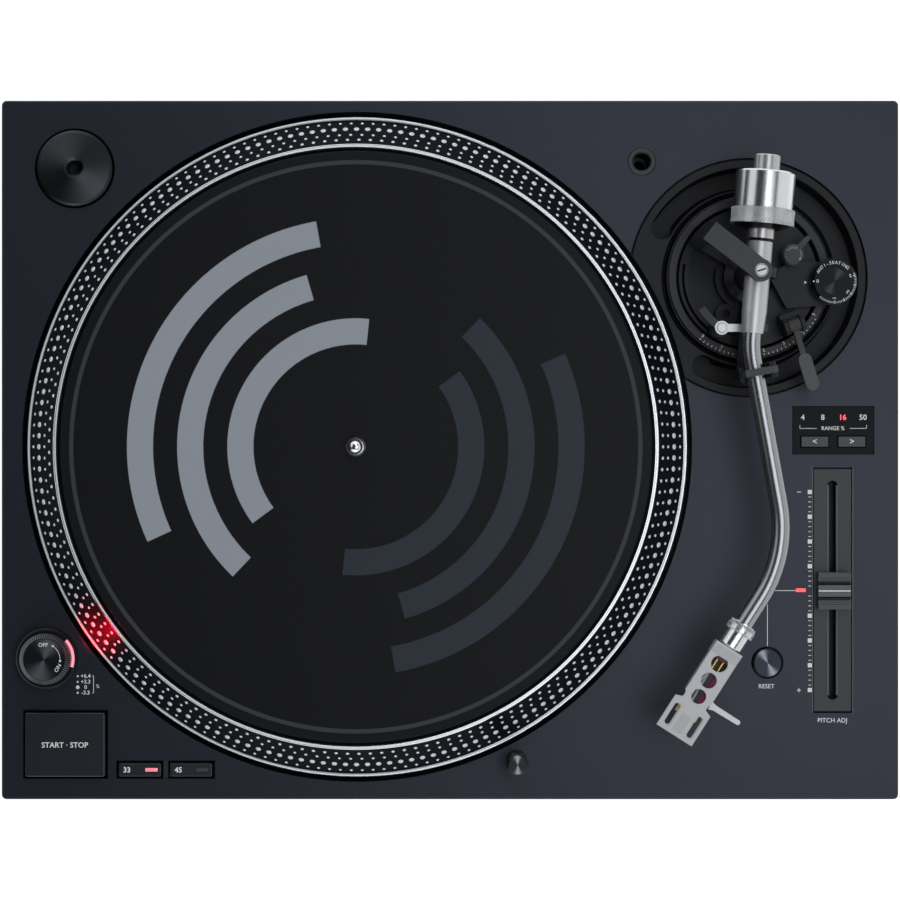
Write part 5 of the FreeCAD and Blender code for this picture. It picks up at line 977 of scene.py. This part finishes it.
class TURNTABLE_OT_tonearm(bpy.types.Operator):
    """Print and knurl the tonearm's base, dial, weight and collar"""

    bl_idname = "turntable.tonearm"
    bl_label = "Tonearm"

    def execute(self, context):
        first, step = 231.8, 3.3
        marks = [
            lettering("height " + figure, figure, 1.7, round_about(PIVOT, 37.6, angle, HEIGHT_RING_INK), angle + 90)
            for figure, angle in (("0", first), ("1", 248.6), ("2", 281.5), ("3", 297.8), ("4", 313.8), ("5", 330.1))
        ]
        degrees = [first + index * step for index in range(30)]
        marks.append(ring_of_marks("height ticks", PIVOT, 39.6, HEIGHT_RING_INK, degrees, 1.1, 0.22))
        wear(join("height scale", marks), ink("white"), "height_ring")
        ribs_round("height ring grip", 150, PIVOT, 41.0, 103.6, (0.35, 0.7, 1.8), "height_ring")

        marks = [round_lettering("words skating", "ANTI-SKATING", 1.65, SKATE, 9.3, DIAL_INK, 149.6, -9.4)]
        for figure, angle in (("0", 180), ("1", 270), ("2", 322), ("3", 380)):
            at = round_about(SKATE, 8.4, angle, DIAL_INK)
            marks.append(lettering("skate " + figure, figure, 1.7, at, angle - 180, bold=0.03))
        degrees = [228 + index * 4.4 for index in range(36)]
        marks.append(ring_of_marks("skate ticks", SKATE, 10.5, DIAL_INK, degrees, 1.1, 0.2))
        degrees = [271 + index * 26.4 for index in range(5)]
        marks.append(ring_of_marks("skate long ticks", SKATE, 10.3, DIAL_INK, degrees, 1.6, 0.3))
        marks.append(disc("skate dot", 0.4, INK, (SKATE[0] - 10.3, SKATE[1], DIAL_INK), 16))
        wear(join("dial prints", marks), ink("white"), "anti_skate_dial")
        ribs_round("dial ribs", 60, SKATE, 11.3, 115.6, (0.5, 0.5, 5.6), "anti_skate_dial")
        pointer = arrow_head("dial index", (SKATE[0] - 13.4, SKATE[1], 112.05), 0, 0.9)
        wear(pointer, ink("white"), "arm_base")

        marks = [
            round_lettering("word lock", "LOCK", 1.3, LOCK, 3.7, DIAL_INK, 138, -24),
            arc_line("lock arc", LOCK, 3.9, DIAL_INK, 38, -28, 0.22, 14),
            arrow_head("lock arrow", round_about(LOCK, 3.9, -32, DIAL_INK), -122, 0.7),
        ]
        wear(join("lock prints", marks), ink("grey"), "height_lock")
        ribs_round("lock ribs", 30, LOCK, 5.2, 116.2, (0.4, 0.5, 6.4), "height_lock")

        line = hoop("lift screw line", 2.35, 0.14, (*LIFT, 132.45), 32)
        wear(line, ink("dim"), "arm_lift")
        slot = block("pivot slot", (4.4, 0.8, 0.12), (*PIVOT, 159.28), 18)
        ring = hoop("pivot ring", 2.75, 0.14, (*PIVOT, 159.3), 48)
        wear(join("pivot screw lines", [slot, ring]), ink("black"), "arm_base")

        middle = Vector((*PIVOT, ARM_HEIGHT)) - 27.0 * ARM_X
        ribs = cross_knurl("pressure ring knurl", middle, ARM_X, ARM_Y, 15.2, (3.6, 2.2), 0.26, 72)
        wear(ribs, ink("silver knurl"), "pressure_ring")
        rows = []
        for row, (along, radius) in enumerate(((1.15, 6.55), (2.75, 6.95), (4.55, 6.95))):
            middle = COLLAR_START + along * SHELL_X
            rows.append(cross_knurl(f"collar knurl {row}", middle, SHELL_X, SHELL_Y, radius, (0.75, 0.55), 0.22, 46))
        wear(join("collar knurl", rows), ink("silver knurl"), "lock_collar")
        return {"FINISHED"}


def on_shell(along, across, height):
    """A point in the headshell's own frame, in the row frame."""
    return SHELL_START + along * SHELL_X + across * SHELL_Y + Vector((0, 0, height))


class TURNTABLE_OT_headshell(bpy.types.Operator):
    """Add the headshell's insulator, tags, and a darker sheet of painted shade in its shallow front recess"""

    bl_idname = "turntable.headshell"
    bl_label = "Headshell"

    def execute(self, context):
        turn = math.degrees(SHELL_TURN)
        back = block("insulator back", (1.8, 10.6, 5.4), on_shell(6.9, 0, -2.0), turn)
        under = block("insulator floor", (7.4, 9.6, 0.5), on_shell(10.6, 0, -4.5), turn)
        insulator = join("insulator", [back, under])
        wear(insulator, grained("insulator", (0.05, 0.022, 0.014), 0.5), "headshell")
        # Painted shade: a darker sheet where the shell's shallow front recess falls into shadow.
        panel = block("front panel", (9.6, 5.4, 0.05), on_shell(43.6, 0, 3.02), turn)
        wear(panel, grained("shell recess shade", (0.43, 0.43, 0.435), 0.5, 0.25, 0.08, 2600.0, 0.1), "headshell")
        tags = []
        for index, (across, height) in enumerate(((-5.2, -1.7), (3.0, -1.7), (-1.8, -3.3), (5.4, -3.3))):
            start = on_shell(36, across, height)
            tags.append(rod(f"tag {index}", 0.8, start - 0.6 * SHELL_X, start + 4.0 * SHELL_X, 12))
        wear(join("lead tags", tags), grained("tag gold", (0.75, 0.52, 0.2), 0.3, 1.0), "headshell", smooth=True)
        return {"FINISHED"}


class TURNTABLE_OT_stage(bpy.types.Operator):
    """Set the floor, the lamps, the world and the camera"""

    bl_idname = "turntable.stage"
    bl_label = "Stage"

    def execute(self, context):
        scene = context.scene
        settings = scene.turntable
        bpy.ops.mesh.primitive_plane_add(size=12, location=(0, 0, -0.0006))
        floor = settle("floor")
        floor.data.materials.append(white_ground())
        # Each lamp's name, place, target, size, and share of the lamp power.
        rows = [
            ("over_the_right", (0.38, -0.10, 1.30), (0.10, 0.0, 0.10), 0.72, 0.62),
            ("over_the_rear", (0.22, 0.62, 1.35), (0.05, 0.0, 0.10), 0.6, 0.3),
            ("over_the_left", (-1.1, 0.25, 0.9), (-0.1, 0.0, 0.1), 0.8, 0.28),
            ("rear_wall", (-0.1, 1.5, 0.95), (0.0, 0.0, 0.1), 1.5, 1.1),
            ("front_wall", (-0.1, -1.5, 0.95), (0.0, 0.0, 0.1), 1.5, 1.1),
        ]
        lamps = [
            area_lamp(name, at, target, size, settings.lamp_power * share) for name, at, target, size, share in rows
        ]
        cards = [
            dark_card("ceiling_card", 4.0, (0, 0, 2.2), (0, 0, 0)),
            dark_card("left_card", 1.6, (-1.35, -0.1, 0.82), (0, math.radians(90), 0)),
        ]
        # The strobe's red light leaves its window and falls on the platter's rim.
        bpy.ops.object.light_add(type="SPOT", location=metres((-188.6, -104.0, 118.0)))
        glow = active()
        glow.name = "strobe_glow"
        glow.data.energy = 0.36
        glow.data.color = (1.0, 0.0, 0.008)
        glow.data.spot_size = math.radians(84)
        glow.data.spot_blend = 1.0
        glow.data.shadow_soft_size = 0.003
        aim(glow, metres((-177.6, -93.2, 111.0)))
        bpy.ops.object.camera_add(location=(0, 0, settings.camera_height), rotation=(0, 0, 0))
        camera = active()
        camera.name = "camera_above"
        camera.data.lens = settings.lens
        camera.data.sensor_width = 36
        scene.camera = camera
        set_world(scene)
        scene.render.engine = "CYCLES"
        scene.render.resolution_x = 900
        scene.render.resolution_y = 900
        scene.view_settings.view_transform = "Standard"
        return {"FINISHED"}


def aim(obj, target):
    """Turn a lamp to look at a point."""
    away = Vector(target) - obj.location
    obj.rotation_euler = away.to_track_quat("-Z", "Y").to_euler()


def area_lamp(name, at, target, size, power):
    """A square lamp that lights without being seen."""
    bpy.ops.object.light_add(type="AREA", location=at)
    lamp = active()
    lamp.name = name
    lamp.data.size = size
    lamp.data.energy = power
    lamp.data.color = (0.94, 0.97, 1.0)
    lamp.visible_camera = False
    aim(lamp, target)
    return lamp


def background_rays(graph):
    """1 for the camera's own rays, mirrored rays and rays through glass."""
    path = graph.node("ShaderNodeLightPath")
    seen = graph.plus(path.outputs["Is Camera Ray"], path.outputs["Is Glossy Ray"], clamp=True)
    return graph.plus(seen, path.outputs["Is Transmission Ray"], clamp=True)


def white_ground():
    """A floor that shows as white and still takes a faint shadow."""
    material, g, shader = new_material("white ground", 0.9)
    g.feed(shader, "Base Color", (0.6, 0.6, 0.6, 1))
    g.feed(shader, "Specular IOR Level", 0.0)
    g.feed(shader, "Emission Color", (1, 1, 1, 1))
    g.feed(shader, "Emission Strength", g.times(background_rays(g), 0.92))
    return material


def dark_card(name, size, at, turn):
    """A black flag beside the set: reflections show it, the camera doesn't."""
    bpy.ops.mesh.primitive_plane_add(size=size, location=at, rotation=turn)
    card = settle(name)
    material, _, shader = new_material(name, 1.0)
    shader.inputs["Base Color"].default_value = (0.012, 0.013, 0.016, 1)
    shader.inputs["Specular IOR Level"].default_value = 0.0
    card.data.materials.append(material)
    card.visible_camera = False
    return card


def set_world(scene):
    """White where it shows, dim as a light."""
    world = bpy.data.worlds.new("room")
    scene.world = world
    world.use_nodes = True
    g = Graph(world.node_tree)
    background = world.node_tree.nodes["Background"]
    g.feed(background, "Color", g.mix(background_rays(g), (0.14, 0.15, 0.17, 1), (1, 1, 1, 1)))
    background.inputs["Strength"].default_value = 1.0


class TURNTABLE_PT_panel(bpy.types.Panel):
    """Buttons for the steps of the dressing"""

    bl_label = "Turntable"
    bl_idname = "TURNTABLE_PT_panel"
    bl_space_type = "VIEW_3D"
    bl_region_type = "UI"
    bl_category = "Turntable"

    def draw(self, context):
        for step in STEPS:
            self.layout.operator(step.bl_idname)


STEPS = [
    TURNTABLE_OT_finishes,
    TURNTABLE_OT_strobe_dots,
    TURNTABLE_OT_slipmat,
    TURNTABLE_OT_plate_prints,
    TURNTABLE_OT_range_panel,
    TURNTABLE_OT_keys,
    TURNTABLE_OT_knobs,
    TURNTABLE_OT_tonearm,
    TURNTABLE_OT_headshell,
    TURNTABLE_OT_stage,
]
CLASSES = [TurntableSettings, *STEPS, TURNTABLE_PT_panel]


def register():
    for kind in CLASSES:
        bpy.utils.register_class(kind)
    bpy.types.Scene.turntable = bpy.props.PointerProperty(type=TurntableSettings)


def unregister():
    del bpy.types.Scene.turntable
    for kind in reversed(CLASSES):
        bpy.utils.unregister_class(kind)


def main():
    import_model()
    register()
    for step in STEPS:
        space, name = step.bl_idname.split(".")
        getattr(getattr(bpy.ops, space), name)()


if __name__ == "__main__":
    main()
